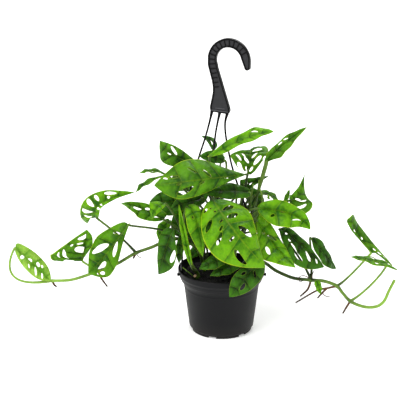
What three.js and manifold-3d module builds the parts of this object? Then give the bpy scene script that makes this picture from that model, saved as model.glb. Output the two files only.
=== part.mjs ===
// Swiss cheese vine (Monstera adansonii) growing in a hanging nursery pot.
// Millimetres, +Z up. The plant is set out round the pot: the rim's plane is z = 0 and
// the pot's axis is x = y = 0. The whole group is then moved so that the point where the
// hook bears on its rail is the origin. The two long vines trail left (-X) and right (+X).

import * as THREE from 'three';
import { mergeVertices } from 'three/addons/utils/BufferGeometryUtils.js';
import Module from 'manifold-3d';

const wasm = await Module();
wasm.setup();

// ---------------------------------------------------------------- driving dimensions

const GAP = 0.3;                       // clearance where two pieces meet

const POT_HEIGHT = 112;                // a 15 cm nursery pot
const RIM_RADIUS = 75;
const COLLAR_RADIUS = 65;              // where the rim has tapered into the wall
const BASE_RADIUS = 56;
const WALL = 1.8;
const FOOT_HEIGHT = 4;
const POT_SIDES = 28;
const NOTCHES = 6;                     // drainage gaps in the foot, and slots in the floor

const SOIL_DROP = 13;                  // the soil's surface lies this far under the rim
const SOIL_SIDES = 20;
const HOLE_DEPTH = 38;                 // the planting holes that the stems stand in
const HOLE_RADIUS = 3.4;

const HOOK_CENTRE = [14, 360.5];       // the hook's eye, across and up in its plate
const HOOK_OUTER = 36.5;
const HOOK_INNER = 21;
const PLATE = 6;                       // thickness of the moulded plate
const PLATE_TURN = -22;                // degrees about Z: its right side comes forward
const PLATE_X = -2;
const STRAND_RADIUS = 1.5;
const CLIP_ANGLES = [195, 345, 100];   // where the strands grip the rim, degrees
const CLIP_DROP = 6;                   // the pegs pass through the rim this far down

const STEM_RADIUS = 2.9;
const PETIOLE_RADIUS = 2.1;
const ROOT_RADIUS = 1.1;
const BLADE = 0.8;                     // thickness of a leaf blade
const SEAT = 0.5;                      // from a petiole's end to the start of its blade
const BENT_SEAT = 0.9;                 // the same where the petiole comes in at an angle
const CURL = 12.5;                     // degrees that a margin turns down from its fold
const WAVE = 1.5;                      // height of a margin's ripple
const ARRIVAL = 0.1;                   // share of a petiole's span that lines up with its blade

// ---------------------------------------------------------------- solids

function toSolid(geometry) {
  const bare = geometry.index ? geometry.toNonIndexed() : geometry.clone();
  bare.deleteAttribute('normal');
  bare.deleteAttribute('uv');
  const merged = mergeVertices(bare, 1e-4);
  return new wasm.Manifold(new wasm.Mesh({
    numProp: 3,
    vertProperties: new Float32Array(merged.attributes.position.array),
    triVerts: new Uint32Array(merged.index.array),
  }));
}

function toGeometry(solid) {
  const mesh = solid.getMesh();
  const geometry = new THREE.BufferGeometry();
  geometry.setAttribute('position', new THREE.BufferAttribute(new Float32Array(mesh.vertProperties), 3));
  geometry.setIndex(new THREE.BufferAttribute(new Uint32Array(mesh.triVerts), 1));
  return geometry;
}

function join(geometries) {
  return toGeometry(geometries.map(toSolid).reduce((sum, solid) => sum.add(solid)));
}

function cut(geometry, cutters) {
  const body = toSolid(geometry);
  return toGeometry(cutters.map(toSolid).reduce((rest, solid) => rest.subtract(solid), body));
}

const vector = (xyz) => new THREE.Vector3(...xyz);

function tubeAlong(curve, radius, sides, steps) {
  const section = new THREE.Shape();
  for (let i = 0; i < sides; i++) {
    const angle = 2 * Math.PI * i / sides;
    const place = i === 0 ? 'moveTo' : 'lineTo';
    section[place](radius * Math.cos(angle), radius * Math.sin(angle));
  }
  return new THREE.ExtrudeGeometry(section, { extrudePath: curve, steps });
}

// A tube through a route's points, with a ring on each of them and, where between is 2, one
// more halfway along each stretch.
function tube(route, radius, sides, between = 1) {
  const curve = new THREE.CatmullRomCurve3(route.map(vector));
  curve.getPointAt = (t, target) => curve.getPoint(t, target);
  curve.getTangentAt = (t, target) => curve.getTangent(t, target);
  return tubeAlong(curve, radius, sides, between * (route.length - 1));
}

// A closed ring or disc from a profile of [radius, z] pairs, turned about Z.
function turned(profile, sides) {
  const points = profile.map(([radius, z]) => new THREE.Vector2(radius, z));
  return new THREE.LatheGeometry(points, sides).rotateX(Math.PI / 2);
}

function piece(name, geometry, material) {
  const mesh = new THREE.Mesh(geometry, material);
  mesh.name = name;
  return mesh;
}

// ---------------------------------------------------------------- materials

const plastic = new THREE.MeshStandardMaterial({ color: 0x3c3e42, roughness: 0.55, metalness: 0 });
const earth = new THREE.MeshStandardMaterial({ color: 0x1c1713, roughness: 0.95, metalness: 0 });
const stalk = new THREE.MeshStandardMaterial({ color: 0x6f9a34, roughness: 0.5, metalness: 0 });
const greens = {
  bright: new THREE.MeshStandardMaterial({ color: 0x8dc52f, roughness: 0.4, metalness: 0 }),
  mid: new THREE.MeshStandardMaterial({ color: 0x5a9a2e, roughness: 0.4, metalness: 0 }),
  dark: new THREE.MeshStandardMaterial({ color: 0x356a22, roughness: 0.4, metalness: 0 }),
};

// ---------------------------------------------------------------- pot and soil

function potRadius(depth) {
  return THREE.MathUtils.mapLinear(depth, 28, 110, COLLAR_RADIUS, BASE_RADIUS + 0.6);
}

function pot() {
  const floor = FOOT_HEIGHT - POT_HEIGHT;
  const outline = [
    [0, floor], [BASE_RADIUS - 8, floor], [BASE_RADIUS - 8, -POT_HEIGHT], [BASE_RADIUS - 3, -POT_HEIGHT],
    [BASE_RADIUS - 3, floor + 1], [BASE_RADIUS, floor + 3], [COLLAR_RADIUS, -29], [COLLAR_RADIUS + 0.6, -27],
    [RIM_RADIUS - 0.6, -10], [RIM_RADIUS, -1], [RIM_RADIUS - 0.8, 0],
    [RIM_RADIUS - WALL, -1], [RIM_RADIUS - WALL - 0.6, -10], [COLLAR_RADIUS - WALL, -28],
    [BASE_RADIUS - WALL, floor + 3], [BASE_RADIUS - WALL - 2, floor + WALL], [0, floor + WALL],
  ];
  const cutters = [];
  for (let i = 0; i < NOTCHES; i++) {
    const angle = 2 * Math.PI * (i + 0.2) / NOTCHES;
    const notch = new THREE.BoxGeometry(14, 14, 6.4);
    notch.translate(BASE_RADIUS - 5.5, 0, -POT_HEIGHT).rotateZ(angle);
    const slot = new THREE.BoxGeometry(14, 6, 8);
    slot.translate(BASE_RADIUS - 22, 0, floor + 1).rotateZ(angle + Math.PI / NOTCHES);
    cutters.push(notch, slot);
  }
  for (const degrees of CLIP_ANGLES) {
    const hole = new THREE.CylinderGeometry(1.6 + GAP, 1.6 + GAP, 8, 8).rotateZ(Math.PI / 2);
    hole.translate(RIM_RADIUS - 1, 0, -CLIP_DROP).rotateZ(THREE.MathUtils.degToRad(degrees));
    cutters.push(hole);
  }
  return piece('pot', cut(turned(outline, POT_SIDES), cutters), plastic);
}

// The surface is a low, lumpy dome, highest round the stems.
function soilHeight(x, y) {
  const lumps = 1.1 * Math.sin(0.21 * x + 1.3) * Math.cos(0.17 * y) + 0.8 * Math.sin(0.33 * y - 0.12 * x);
  return -SOIL_DROP + 2.5 * (1 - (x * x + y * y) / (RIM_RADIUS * RIM_RADIUS)) + lumps;
}

function soil(plantingHoles) {
  const bottom = FOOT_HEIGHT - POT_HEIGHT + WALL + GAP;
  const edge = (depth) => potRadius(depth) - WALL - 2 * GAP;
  const outline = [
    [0, bottom], [BASE_RADIUS - WALL - 2 - GAP, bottom], [BASE_RADIUS - WALL - GAP - 0.2, bottom + 2.4],
    [edge(28) - GAP, -28.4], [RIM_RADIUS - WALL - 7, -SOIL_DROP - 2],
    [50, -SOIL_DROP], [30, -SOIL_DROP], [0, -SOIL_DROP],
  ];
  const body = turned(outline, SOIL_SIDES);
  const place = body.attributes.position;
  for (let i = 0; i < place.count; i++) {
    if (place.getZ(i) > -SOIL_DROP - 0.5) {
      place.setZ(i, soilHeight(place.getX(i), place.getY(i)));
    }
  }
  const cutters = plantingHoles.map(([x, y]) => {
    const hole = new THREE.CylinderGeometry(HOLE_RADIUS, HOLE_RADIUS, 2 * HOLE_DEPTH, 10);
    return hole.rotateX(Math.PI / 2).translate(x, y, -SOIL_DROP);
  });
  return piece('soil', cut(body, cutters), earth);
}

// ---------------------------------------------------------------- hanger

const plateTurn = THREE.MathUtils.degToRad(PLATE_TURN);

// From the plate's own plane, across and up, to the pot's frame.
function onPlate(across, up) {
  return [PLATE_X + across * Math.cos(plateTurn), across * Math.sin(plateTurn), up];
}

function hangerHook() {
  const [cx, cz] = HOOK_CENTRE;
  const shape = new THREE.Shape();
  shape.moveTo(-17.5, 274);
  shape.lineTo(14.5, 272);
  shape.lineTo(16.5, 279);
  shape.lineTo(-5.5, 347);
  shape.absarc(cx, cz, HOOK_INNER + 1, Math.PI * 1.12, Math.PI * 0.08, true);
  shape.lineTo(42.5, 350);
  shape.quadraticCurveTo(44.5, 346, 47.5, 349);
  shape.lineTo(cx + HOOK_OUTER, 358);
  shape.absarc(cx, cz, HOOK_OUTER, 0, Math.PI, false);
  shape.quadraticCurveTo(-21.5, 346, -16, 332);
  shape.quadraticCurveTo(-12, 316, -13.5, 303);
  shape.lineTo(-19, 281);
  shape.closePath();
  const plate = new THREE.ExtrudeGeometry(shape, { depth: PLATE, bevelEnabled: false, curveSegments: 8 });
  plate.translate(0, 0, -PLATE / 2).rotateX(Math.PI / 2).rotateZ(plateTurn).translate(PLATE_X, 0, 0);
  return plate;
}

// Each strand leaves the flared foot of the plate, bows outwards and grips the rim with a
// flat clip inside and a headed peg through the wall.
const STRANDS = [
  { start: -15.5,
    route: [[-20, 2, 260], [-28, 0, 230], [-39, -4, 196], [-58, -11, 120], [-68, -16, 60]] },
  { start: 12,
    route: [[5, -5, 258], [5.5, -6, 240], [11, -9, 208], [20, -12, 172], [48, -16, 90]] },
  { start: -1.5, route: [[-7, 3, 258], [-11, 9, 233], [-15, 22, 182], [-19, 50, 100], [-18, 64, 50]] },
];

function strand({ start, route }, degrees) {
  const angle = THREE.MathUtils.degToRad(degrees);
  const inside = RIM_RADIUS - WALL - 2.6;
  const outwards = (radius, z) => [radius * Math.cos(angle), radius * Math.sin(angle), z];
  const line = [onPlate(start, 276), ...route, outwards(inside - 1, 22), outwards(inside, 9)];
  const clip = new THREE.BoxGeometry(2.6, 6, 20).translate(inside, 0, 2).rotateZ(angle);
  const peg = new THREE.CylinderGeometry(1.6, 1.6, 7, 8).rotateZ(Math.PI / 2);
  peg.translate(inside + 3.8, 0, -CLIP_DROP).rotateZ(angle);
  const head = new THREE.SphereGeometry(3, 8, 4).scale(0.6, 1, 1);
  head.translate(RIM_RADIUS + 2.2, 0, -CLIP_DROP).rotateZ(angle);
  return [tube(line, STRAND_RADIUS, 6), clip, peg, head];
}

function hanger() {
  const strands = STRANDS.flatMap((spec, i) => strand(spec, CLIP_ANGLES[i]));
  return piece('hanger', join([hangerHook(), ...strands]), plastic);
}

// ---------------------------------------------------------------- leaf blades

// The outline of an adansonii leaf at t = 0 (petiole) to 1 (tip): how wide it is, and how
// far its margin runs ahead of the midrib, because the side veins sweep towards the tip.
// Swell is where it is widest, taper draws its tip out thin, and lobe is how far back its two
// lobes reach beside the petiole.
const halfWidth = (t, swell, taper) => {
  const spread = Math.log(0.5) / Math.log(swell);
  return Math.pow(Math.sin(Math.PI * Math.pow(t, spread)), taper);
};
const lead = (t, lobe) => {
  return 0.11 * Math.sin(Math.PI * t) - lobe * t / (t + 0.03) * Math.exp(-t / 0.15);
};

// Side veins, and the stations across a half blade; the openings lie between the veins,
// from the second station to the last but one.
const PATTERNS = {
  large: { veins: [0, 0.17, 0.36, 0.56, 0.76, 1], across: [0, 0.18, 0.38, 0.62, 0.84, 1] },
  medium: { veins: [0, 0.17, 0.36, 0.56, 0.76, 1], across: [0, 0.2, 0.5, 0.82, 1] },
  small: { veins: [0, 0.22, 0.46, 0.72, 1], across: [0, 0.2, 0.5, 0.82, 1] },
  sparse: { veins: [0, 0.32, 0.62, 1], across: [0, 0.2, 0.5, 0.82, 1] },
  plain: { veins: [0, 0.28, 0.6, 1], across: [0, 0.5, 1] },
};

// A point of the blade's middle surface. Side is -1 on the left and +1 on the right, seen
// from above with the tip away; reach is 0 on the midrib and 1 on the margin.
function bladePoint(leaf, t, side, reach) {
  const hand = side < 0 ? 0 : 1;
  const base = vector(leaf.base);
  const tip = vector(leaf.tip);
  const up = vector(leaf.face).normalize();
  const middle = base.clone().add(tip).multiplyScalar(0.5);
  const chord = tip.clone().sub(base);
  const control = middle.addScaledVector(up, 2 * leaf.bow).add(vector(leaf.sway ?? [0, 0, 0]));
  const midrib = new THREE.QuadraticBezierCurve3(base, control, tip);

  const along = t + lead(t, (leaf.lobe ?? [0.12, 0.12])[hand]) * reach;
  const point = midrib.getPoint(Math.max(along, 0));
  const ahead = midrib.getTangent(Math.max(along, 0));
  point.addScaledVector(ahead, Math.min(along, 0) * chord.length());
  const normal = up.clone().addScaledVector(ahead, -up.dot(ahead)).normalize();
  const right = ahead.clone().cross(normal);

  const taper = (leaf.taper ?? [0.9, 0.9])[hand];
  const profile = halfWidth(t, (leaf.swell ?? [0.33, 0.33])[hand], taper);
  const width = leaf.width[hand] * profile * reach;
  const fold = leaf.fold ?? [12, 12];
  const tilt = THREE.MathUtils.degToRad(fold[hand] - CURL * reach);
  const ripple = WAVE * reach * reach * Math.sin(17 * t + 2 * side) * profile;
  point.addScaledVector(right, side * width * Math.cos(tilt));
  return point.addScaledVector(normal, width * Math.sin(tilt) + ripple);
}

// The openings: leaf.open gives, for each side, how much of each panel between two veins is
// open. The lens between two stations has its ends on the veins' middle line.
function bladeGeometry(leaf) {
  const { veins, across } = PATTERNS[leaf.pattern ?? 'large'];
  const first = across[1];
  const last = across[across.length - 2];
  const points = [];
  const triangles = [];
  const known = new Map();

  function vertex(t, side, reach) {
    const atEnd = t === 0 || t === 1;
    const key = atEnd ? `${t}` : `${t.toFixed(5)} ${(side * reach).toFixed(4)}`;
    if (!known.has(key)) {
      known.set(key, points.length);
      points.push(bladePoint(leaf, t, side, atEnd ? 0 : reach));
    }
    return known.get(key);
  }

  function triangle(a, b, c) {
    if (a !== b && b !== c && c !== a) triangles.push([a, b, c]);
  }

  for (const side of [-1, 1]) {
    const open = leaf.open?.[side < 0 ? 0 : 1] ?? [];
    for (let panel = 0; panel < veins.length - 1; panel++) {
      const [start, end] = [veins[panel], veins[panel + 1]];
      const middle = (start + end) / 2;
      const lens = (reach) => {
        if (!open[panel]) return 0;
        const inside = 1 - ((2 * reach - first - last) / (last - first)) ** 2;
        return open[panel] * (end - start) / 2 * Math.sqrt(Math.max(inside, 0));
      };
      const strips = [
        [() => start, (reach) => middle - lens(reach)],
        [(reach) => middle + lens(reach), () => end],
      ];
      for (const [lower, upper] of strips) {
        for (let i = 0; i < across.length - 1; i++) {
          const [near, far] = [across[i], across[i + 1]];
          const a = vertex(lower(near), side, near);
          const b = vertex(lower(far), side, far);
          const c = vertex(upper(far), side, far);
          const d = vertex(upper(near), side, near);
          if (side > 0) {
            triangle(a, b, c);
            triangle(a, c, d);
          } else {
            triangle(a, c, b);
            triangle(a, d, c);
          }
        }
      }
    }
  }
  return thicken(points, triangles);
}

// Both faces of a sheet get the same triangles, and each free edge gets a rim.
function thicken(points, triangles) {
  const normals = points.map(() => new THREE.Vector3());
  const edges = new Map();
  for (const [a, b, c] of triangles) {
    const normal = points[b].clone().sub(points[a]).cross(points[c].clone().sub(points[a]));
    for (const corner of [a, b, c]) normals[corner].add(normal);
    for (const [from, to] of [[a, b], [b, c], [c, a]]) {
      if (!edges.delete(`${to} ${from}`)) edges.set(`${from} ${to}`, [from, to]);
    }
  }
  const count = points.length;
  const corners = [];
  for (const half of [BLADE / 2, -BLADE / 2]) {
    points.forEach((point, i) => {
      corners.push(...point.clone().addScaledVector(normals[i].normalize(), half).toArray());
    });
  }
  const index = [];
  for (const [a, b, c] of triangles) {
    index.push(a, b, c, a + count, c + count, b + count);
  }
  for (const [from, to] of edges.values()) {
    index.push(from, from + count, to + count, from, to + count, to);
  }
  const geometry = new THREE.BufferGeometry();
  geometry.setAttribute('position', new THREE.BufferAttribute(new Float32Array(corners), 3));
  geometry.setIndex(index);
  return geometry;
}

// ---------------------------------------------------------------- the leaves

// Each leaf: where its blade starts and ends, the way its upper surface faces, how far its
// midrib bows out of the straight or sways aside, its half widths left and right, and where
// its petiole leaves which stem and the way it leaves.
const LEAVES = [
  { name: 'leaf_crown_wide', green: 'mid', stem: 'stem_middle', node: [28, -12, 75],
    leave: [6, 30, 40],
    base: [40, -20, 173], tip: [-111, -61, 167], face: [0, -2, 1.3], bow: 22, width: [29, 45],
    swell: [0.65, 0.55], open: [[0, 0.2, 0.25, 0.5], [0, 0.2, 0.25, 0.2]], lobe: [0.14, 0],
    fold: [-18, -9], sway: [26, -10, -7] },
  { name: 'leaf_front_large', green: 'bright', stem: 'stem_middle', node: [24, -14, 40],
    leave: [-30, -5, 60],
    base: [-16, -55, 141], tip: [70, -108, 42], face: [0.4, -2, 1], bow: 24, width: [54, 53],
    open: [[0, 0.4, 0.45, 0.3], [0.3, 0.45, 0.5, 0.5]], swell: [0.2, 0.37], lobe: [0.12, 0.08],
    fold: [-18, -13], sway: [-18, -8, -3] },
  { name: 'leaf_front_hanging', green: 'bright', stem: 'stem_front', node: [-53, -26, 20],
    leave: [-16, -16, 60],
    base: [-57, -50, 126], tip: [-32, -70, 46], face: [0.3, -1, 0.7], bow: 15, width: [12, 18],
    fold: [24, 10], pattern: 'plain', swell: [0.35, 0.45], lobe: [0.12, 0.2],
    sway: [-2, 8, 30] },
  { name: 'leaf_front_sheath', green: 'bright', stem: 'stem_front', node: [-45, -21, 2],
    leave: [-2, -26, 8],
    base: [-52, -60, 29], tip: [-71, -64, 135], face: [-0.2, -1, 0.2], bow: 3, width: [6, 6],
    fold: [40, 40], pattern: 'plain' },
  { name: 'leaf_right_dark', green: 'mid', stem: 'stem_middle', node: [24, -14, 40],
    leave: [6, -22, 40],
    base: [57, -48, 102], tip: [121, -84, 32], face: [0.5, -1.6, 1], bow: -8, width: [17, 44],
    pattern: 'medium', open: [[0, 0, 0.3], [0, 0.4, 0.5, 0.35]], swell: [0.19, 0.46],
    lobe: [0.13, -0.05], fold: [15, 38], sway: [-1, 20, -5] },
  { name: 'leaf_right_bright', green: 'bright', stem: 'stem_middle', node: [28, -12, 75],
    leave: [4, -24, 40],
    base: [58, -44, 121], tip: [145, -63, 91], face: [0.2, -1.2, 1.5], bow: -2, width: [17, 30],
    swell: [0.21, 0.25], pattern: 'small', open: [[0, 0.4, 0], [0, 0, 0.2]],
    lobe: [-0.05, -0.05], fold: [38, 10], sway: [30, 16, 14] },
  { name: 'leaf_top_long', green: 'bright', stem: 'stem_back', node: [-2, 24, 90],
    leave: [-14, -8, 70],
    base: [-20, -30, 207], tip: [83, -47, 253], face: [-0.4, -0.3, 1.2], bow: 8, width: [20, 10],
    arrive: [-4, 12, -6], swell: [0.48, 0.3], pattern: 'medium',
    open: [[0, 0.3, 0.3, 0.4], [0, 0.3, 0.3, 0]], lobe: [0.2, 0], fold: [25, -3],
    sway: [13, -5, 3] },
  { name: 'leaf_top_right', green: 'mid', stem: 'stem_middle', node: [28, -12, 75],
    leave: [20, 4, 0],
    base: [75, 5, 187], tip: [142, 17, 244], face: [-0.6, -0.7, 1], bow: -8, width: [12, 26],
    arrive: [-16, -3, -60], swell: [0.41, 0.25], pattern: 'sparse', open: [[0, 0.3, 0], [0, 0, 0]],
    lobe: [0.2, -0.05], fold: [24, 32], sway: [-20, 12, 1] },
  { name: 'leaf_top_fan', green: 'mid', stem: 'stem_back', node: [-2, 24, 90],
    leave: [20, 30, 10],
    base: [45, 23, 168], tip: [49, 71, 189], face: [0, -1.2, 0.6], bow: 7, width: [35, 31],
    arrive: [0, 10, -30], pattern: 'small', open: [[0, 0.6, 0.5], [0, 0.6, 0.4]],
    swell: [0.4, 0.51], lobe: [0.29, 0.48], fold: [0, 24], sway: [4, 1, 18] },
  { name: 'leaf_top_left', green: 'mid', stem: 'stem_back', node: [2, 26, 50],
    leave: [-20, 0, 70],
    base: [-51, 0, 187], tip: [-103, -3, 226], face: [-0.4, -1, 0.5], bow: 16, width: [26, 14],
    pattern: 'small', open: [[0.3, 0.4, 0.2], [0, 0.3, 0]], swell: [0.45, 0.34],
    lobe: [0.04, 0.31], fold: [-18, 4], sway: [2, -8, -11] },
  { name: 'leaf_top_small', green: 'dark', stem: 'stem_back', node: [-2, 24, 90],
    leave: [-5, 5, 40],
    base: [-15, 35, 199], tip: [-35, 46, 221], face: [-0.2, -1, 0.3], bow: 4, width: [8, 6],
    pattern: 'plain', swell: [0.29, 0.35], lobe: [0.1, -0.04], fold: [12, 5], sway: [20, -1, 4] },
  { name: 'leaf_left_narrow_a', green: 'mid', stem: 'stem_back', node: [2, 26, 50],
    leave: [-30, 0, 50],
    base: [-94, 12, 162], tip: [-141, 13, 164], face: [0, -0.2, 1], bow: 5, width: [6, 9],
    pattern: 'plain', swell: [0.39, 0.48], lobe: [-0.04, 0.22], fold: [14, 11], sway: [3, 3, 2] },
  { name: 'leaf_left_narrow_b', green: 'mid', stem: 'stem_back', node: [2, 26, 50],
    leave: [-30, -6, 40],
    base: [-90, -2, 168], tip: [-145, -6, 136], face: [-0.3, -0.3, 1], bow: 5, width: [6, 13],
    pattern: 'plain', swell: [0.39, 0.56], lobe: [0.05, -0.05], fold: [23, 10],
    sway: [-8, 0, -5] },
  { name: 'leaf_left_mid', green: 'mid', stem: 'vine_left', node: [-48, -14, 45],
    leave: [-14, -4, 30],
    base: [-97, -34, 98], tip: [-167, -48, 131], face: [0, -1.2, 1], bow: -8, width: [22, 13],
    pattern: 'small', open: [[0, 0.5, 0.5], [0, 0.3, 0]], swell: [0.33, 0.14],
    lobe: [-0.03, 0.06], fold: [37, 13], sway: [-9, 12, 15] },
  { name: 'leaf_left_curled', green: 'bright', stem: 'vine_left', node: [-62, -22, 57],
    leave: [-8, -24, 40],
    base: [-94, -46, 130], tip: [-116, -61, 109], face: [-0.4, -1, 0.6], bow: 12, width: [8, 20],
    pattern: 'plain', swell: [0.36, 0.21], lobe: [0.11, 0.08], fold: [14, 0], sway: [3, -2, 5] },
  { name: 'leaf_left_back', green: 'dark', stem: 'vine_left', node: [-38, -8, 30],
    leave: [-6, 10, 50],
    base: [-62, 4, 116], tip: [-122, 2, 118], face: [-0.2, -1, 0.5], bow: 4, width: [24, 20],
    pattern: 'plain' },
  { name: 'leaf_left_shade', green: 'dark', stem: 'vine_left', node: [-38, -8, 30],
    leave: [4, 15, 30],
    base: [-46, 15, 110], tip: [-84, 9, 54], face: [-0.2, -1, 0.2], bow: 4, width: [22, 20],
    pattern: 'plain',
    arrive: [2, 7, -4] },
  { name: 'leaf_left_hanging', green: 'dark', stem: 'vine_left', node: [-62, -22, 57],
    leave: [0, -12, 16],
    base: [-80, -52, 88], tip: [-106, -64, 12], face: [-0.3, -1, 0.4], bow: 8, width: [23, 19],
    swell: [0.6, 0.24], pattern: 'small', open: [[0, 0, 0.8], [0, 0, 0]], lobe: [0.12, 0.09],
    fold: [16, 1], sway: [7, 1, 18] },
  { name: 'leaf_left_young', green: 'bright', stem: 'vine_left', node: [-80, -28, 62],
    leave: [-4, 10, 14],
    base: [-88, -8, 88], tip: [-108, -14, 56], face: [-0.8, -1, 0.3], bow: 4, width: [11, 12],
    pattern: 'plain',
    arrive: [4, 4, -8] },
  { name: 'leaf_inner_left', green: 'dark', stem: 'vine_left', node: [-30, 4, 0],
    leave: [0, 32, 30],
    base: [-32, 20, 92], tip: [-60, 20, 30], face: [-0.3, -1, 0.2], bow: 5, width: [18, 16],
    pattern: 'plain',
    arrive: [4, 13, -7] },
  { name: 'leaf_inner_top', green: 'dark', stem: 'stem_middle', node: [24, -14, 40],
    leave: [0, 24, 40],
    base: [46, -22, 142], tip: [-30, -34, 145], face: [0, -1, 1.2], bow: 6, width: [16, 15],
    arrive: [4, 20, -10], pattern: 'plain' },
  { name: 'leaf_inner_front', green: 'dark', stem: 'stem_middle', node: [20, -13, 10],
    leave: [-8, 20, 26],
    base: [0, -4, 94], tip: [-30, -8, 42], face: [-0.2, -1, 0.6], bow: 4, width: [20, 22],
    pattern: 'plain' },
  { name: 'leaf_inner_back', green: 'dark', stem: 'stem_back', node: [4, 25, 15],
    leave: [-10, 8, 30],
    base: [-30, 44, 84], tip: [-68, 56, 48], face: [-0.5, -0.4, 1], bow: 8, width: [12, 16],
    pattern: 'plain' },
  { name: 'leaf_back_hanging', green: 'mid', stem: 'stem_back', node: [4, 25, 15],
    leave: [12, 24, 50],
    base: [46, 52, 100], tip: [72, 82, 26], face: [0.3, 1, 0.8], bow: 10, width: [26, 28],
    pattern: 'sparse', open: [[0.4, 0.4, 0], [0.4, 0.4, 0]] },
  { name: 'leaf_back_left', green: 'mid', stem: 'stem_back', node: [2, 26, 50],
    leave: [-4, 28, 50],
    base: [-18, 58, 146], tip: [-92, 76, 112], face: [-0.3, 1, 0.6], bow: 10, width: [34, 34],
    pattern: 'sparse', open: [[0.3, 0.4, 0], [0.3, 0.4, 0]] },
  { name: 'leaf_back_middle', green: 'dark', stem: 'stem_back', node: [2, 26, 50],
    leave: [4, 24, 40],
    base: [22, 56, 96], tip: [14, 82, 18], face: [0, 1, 0.7], bow: 10, width: [30, 30],
    pattern: 'sparse', open: [[0.4, 0.4, 0.3], [0.4, 0.4, 0.3]] },
  { name: 'leaf_back_low_right', green: 'dark', stem: 'stem_back', node: [4, 25, 15],
    leave: [20, 14, 40],
    base: [64, 50, 46], tip: [104, 76, 6], face: [0.5, 0.8, 1], bow: 8, width: [18, 20],
    pattern: 'sparse', open: [[0.3, 0.4, 0], [0.3, 0.4, 0.3]] },
  { name: 'leaf_back_low_left', green: 'mid', stem: 'stem_back', node: [4, 25, 15],
    leave: [-30, 2, 20],
    base: [-46, 62, 62], tip: [-72, 96, 20], face: [-0.5, 0.8, 1], bow: 8, width: [18, 20],
    pattern: 'sparse', open: [[0.3, 0.4, 0], [0.3, 0.4, 0.3]] },
  { name: 'leaf_soil_left', green: 'dark', stem: 'stem_middle', node: [20, -13, 10],
    leave: [-10, -8, 14],
    base: [4, -42, 30], tip: [-38, -52, 17], face: [0, -0.6, 1], bow: 4, width: [14, 13],
    pattern: 'plain' },
  { name: 'leaf_soil_right', green: 'dark', stem: 'stem_middle', node: [20, -13, 10],
    leave: [6, -10, 8],
    base: [28, -36, 20], tip: [-20, -58, 7], face: [0.1, -0.5, 1], bow: 3, width: [14, 10],
    pattern: 'plain' },
  { name: 'leaf_rim_front', green: 'dark', stem: 'vine_right', node: [52, -14, 20],
    leave: [4, -30, 30],
    base: [59, -74, 39], tip: [12, -99, -14], face: [0.4, -1.6, 0.8], bow: 1, width: [22, 18],
    pattern: 'small', open: [[0, 0.4, 0.3], [0, 0.4, 0]], swell: [0.27, 0.41],
    lobe: [0.17, -0.05], fold: [11, 16], sway: [0, 2, -4] },
  { name: 'leaf_right_split', green: 'dark', stem: 'vine_right', node: [153, -20, -16],
    leave: [-16, 8, 40],
    base: [100, -7, 72], tip: [175, -19, 7], face: [0.5, -1, 0.9], bow: 5, width: [12, 39],
    pattern: 'medium', open: [[0.3, 0, 0.3, 0.3], [0.3, 0.7, 0.7, 0.4]], swell: [0.38, 0.57],
    lobe: [0.08, 0.2], fold: [7, 17], sway: [-24, 5, 23] },
  { name: 'leaf_right_behind', green: 'dark', stem: 'vine_right', node: [153, -20, -16],
    leave: [4, 14, 40],
    base: [154, 16, 47], tip: [201, 26, -14], face: [0.6, -0.8, 0.6], bow: 8, width: [14, 16],
    pattern: 'sparse', open: [[0, 0.3, 0], [0, 0.4, 0.3]], swell: [0.21, 0.46],
    lobe: [-0.05, -0.05], fold: [11, 17], sway: [-10, -3, -3] },
  { name: 'leaf_right_sheath', green: 'bright', stem: 'vine_right', node: [153, -20, -16],
    leave: [2, -4, 3],
    base: [161, -27, -14], tip: [169, -30, -38], face: [0.4, -1, 0.2], bow: 2, width: [6, 6],
    pattern: 'plain' },
  { name: 'leaf_upper_right', green: 'mid', stem: 'stem_middle', node: [28, -12, 75],
    leave: [40, 20, 5],
    base: [116, 25, 112], tip: [142, 32, 159], face: [0.3, -1, 0.4], bow: 16, width: [10, 39],
    swell: [0.14, 0.14], lobe: [-0.05, 0.02], pattern: 'small', open: [[0, 0, 0], [0.3, 0.7, 0]],
    fold: [6, -18], sway: [-5, -10, -23],
    taper: [0.9, 2.2] },
  { name: 'leaf_upper_slim', green: 'mid', stem: 'stem_middle', node: [28, -12, 75],
    leave: [30, 14, 5],
    base: [106, 12, 112], tip: [115, 14, 136], face: [0.3, -1, 0.4], bow: 2, width: [4, 4],
    pattern: 'plain' },
  { name: 'leaf_right_shade', green: 'dark', stem: 'stem_middle', node: [28, -12, 75],
    leave: [8, -20, 10],
    base: [62, -26, 111], tip: [112, -30, 109], face: [0.2, -1, 0.8], bow: 4, width: [14, 13],
    pattern: 'plain' },
  { name: 'leaf_middle_right', green: 'mid', stem: 'stem_middle', node: [28, -12, 75],
    leave: [14, 14, 24],
    base: [59, 22, 124], tip: [97, 10, 114], face: [-0.2, 0.2, 1], bow: 7, width: [18, 17],
    pattern: 'sparse', open: [[0, 0.4, 0], [0.3, 0.4, 0]], swell: [0.3, 0.31],
    lobe: [0.04, 0.17], fold: [22, 6], sway: [6, -1, -2] },
  { name: 'leaf_middle_dark', green: 'dark', stem: 'stem_middle', node: [28, -12, 75],
    leave: [-6, 30, 20],
    base: [31, 13, 141], tip: [80, 11, 161], face: [0, -1, -0.2], bow: -2, width: [13, 11],
    pattern: 'sparse', open: [[0.3, 0.5, 0], [0, 0.3, 0]], swell: [0.14, 0.14],
    lobe: [0.02, 0.27], fold: [18, 12], sway: [-13, 3, -9] },
  { name: 'leaf_neck', green: 'dark', stem: 'stem_back', node: [-2, 24, 90], leave: [6, -10, 50],
    base: [4, 4, 190], tip: [-38, -9, 201], face: [0, -1, 0.5], bow: 4, width: [8, 13],
    pattern: 'plain' },
  { name: 'leaf_crown_shade', green: 'dark', stem: 'stem_back', node: [2, 26, 50],
    leave: [-10, -20, 40],
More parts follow.
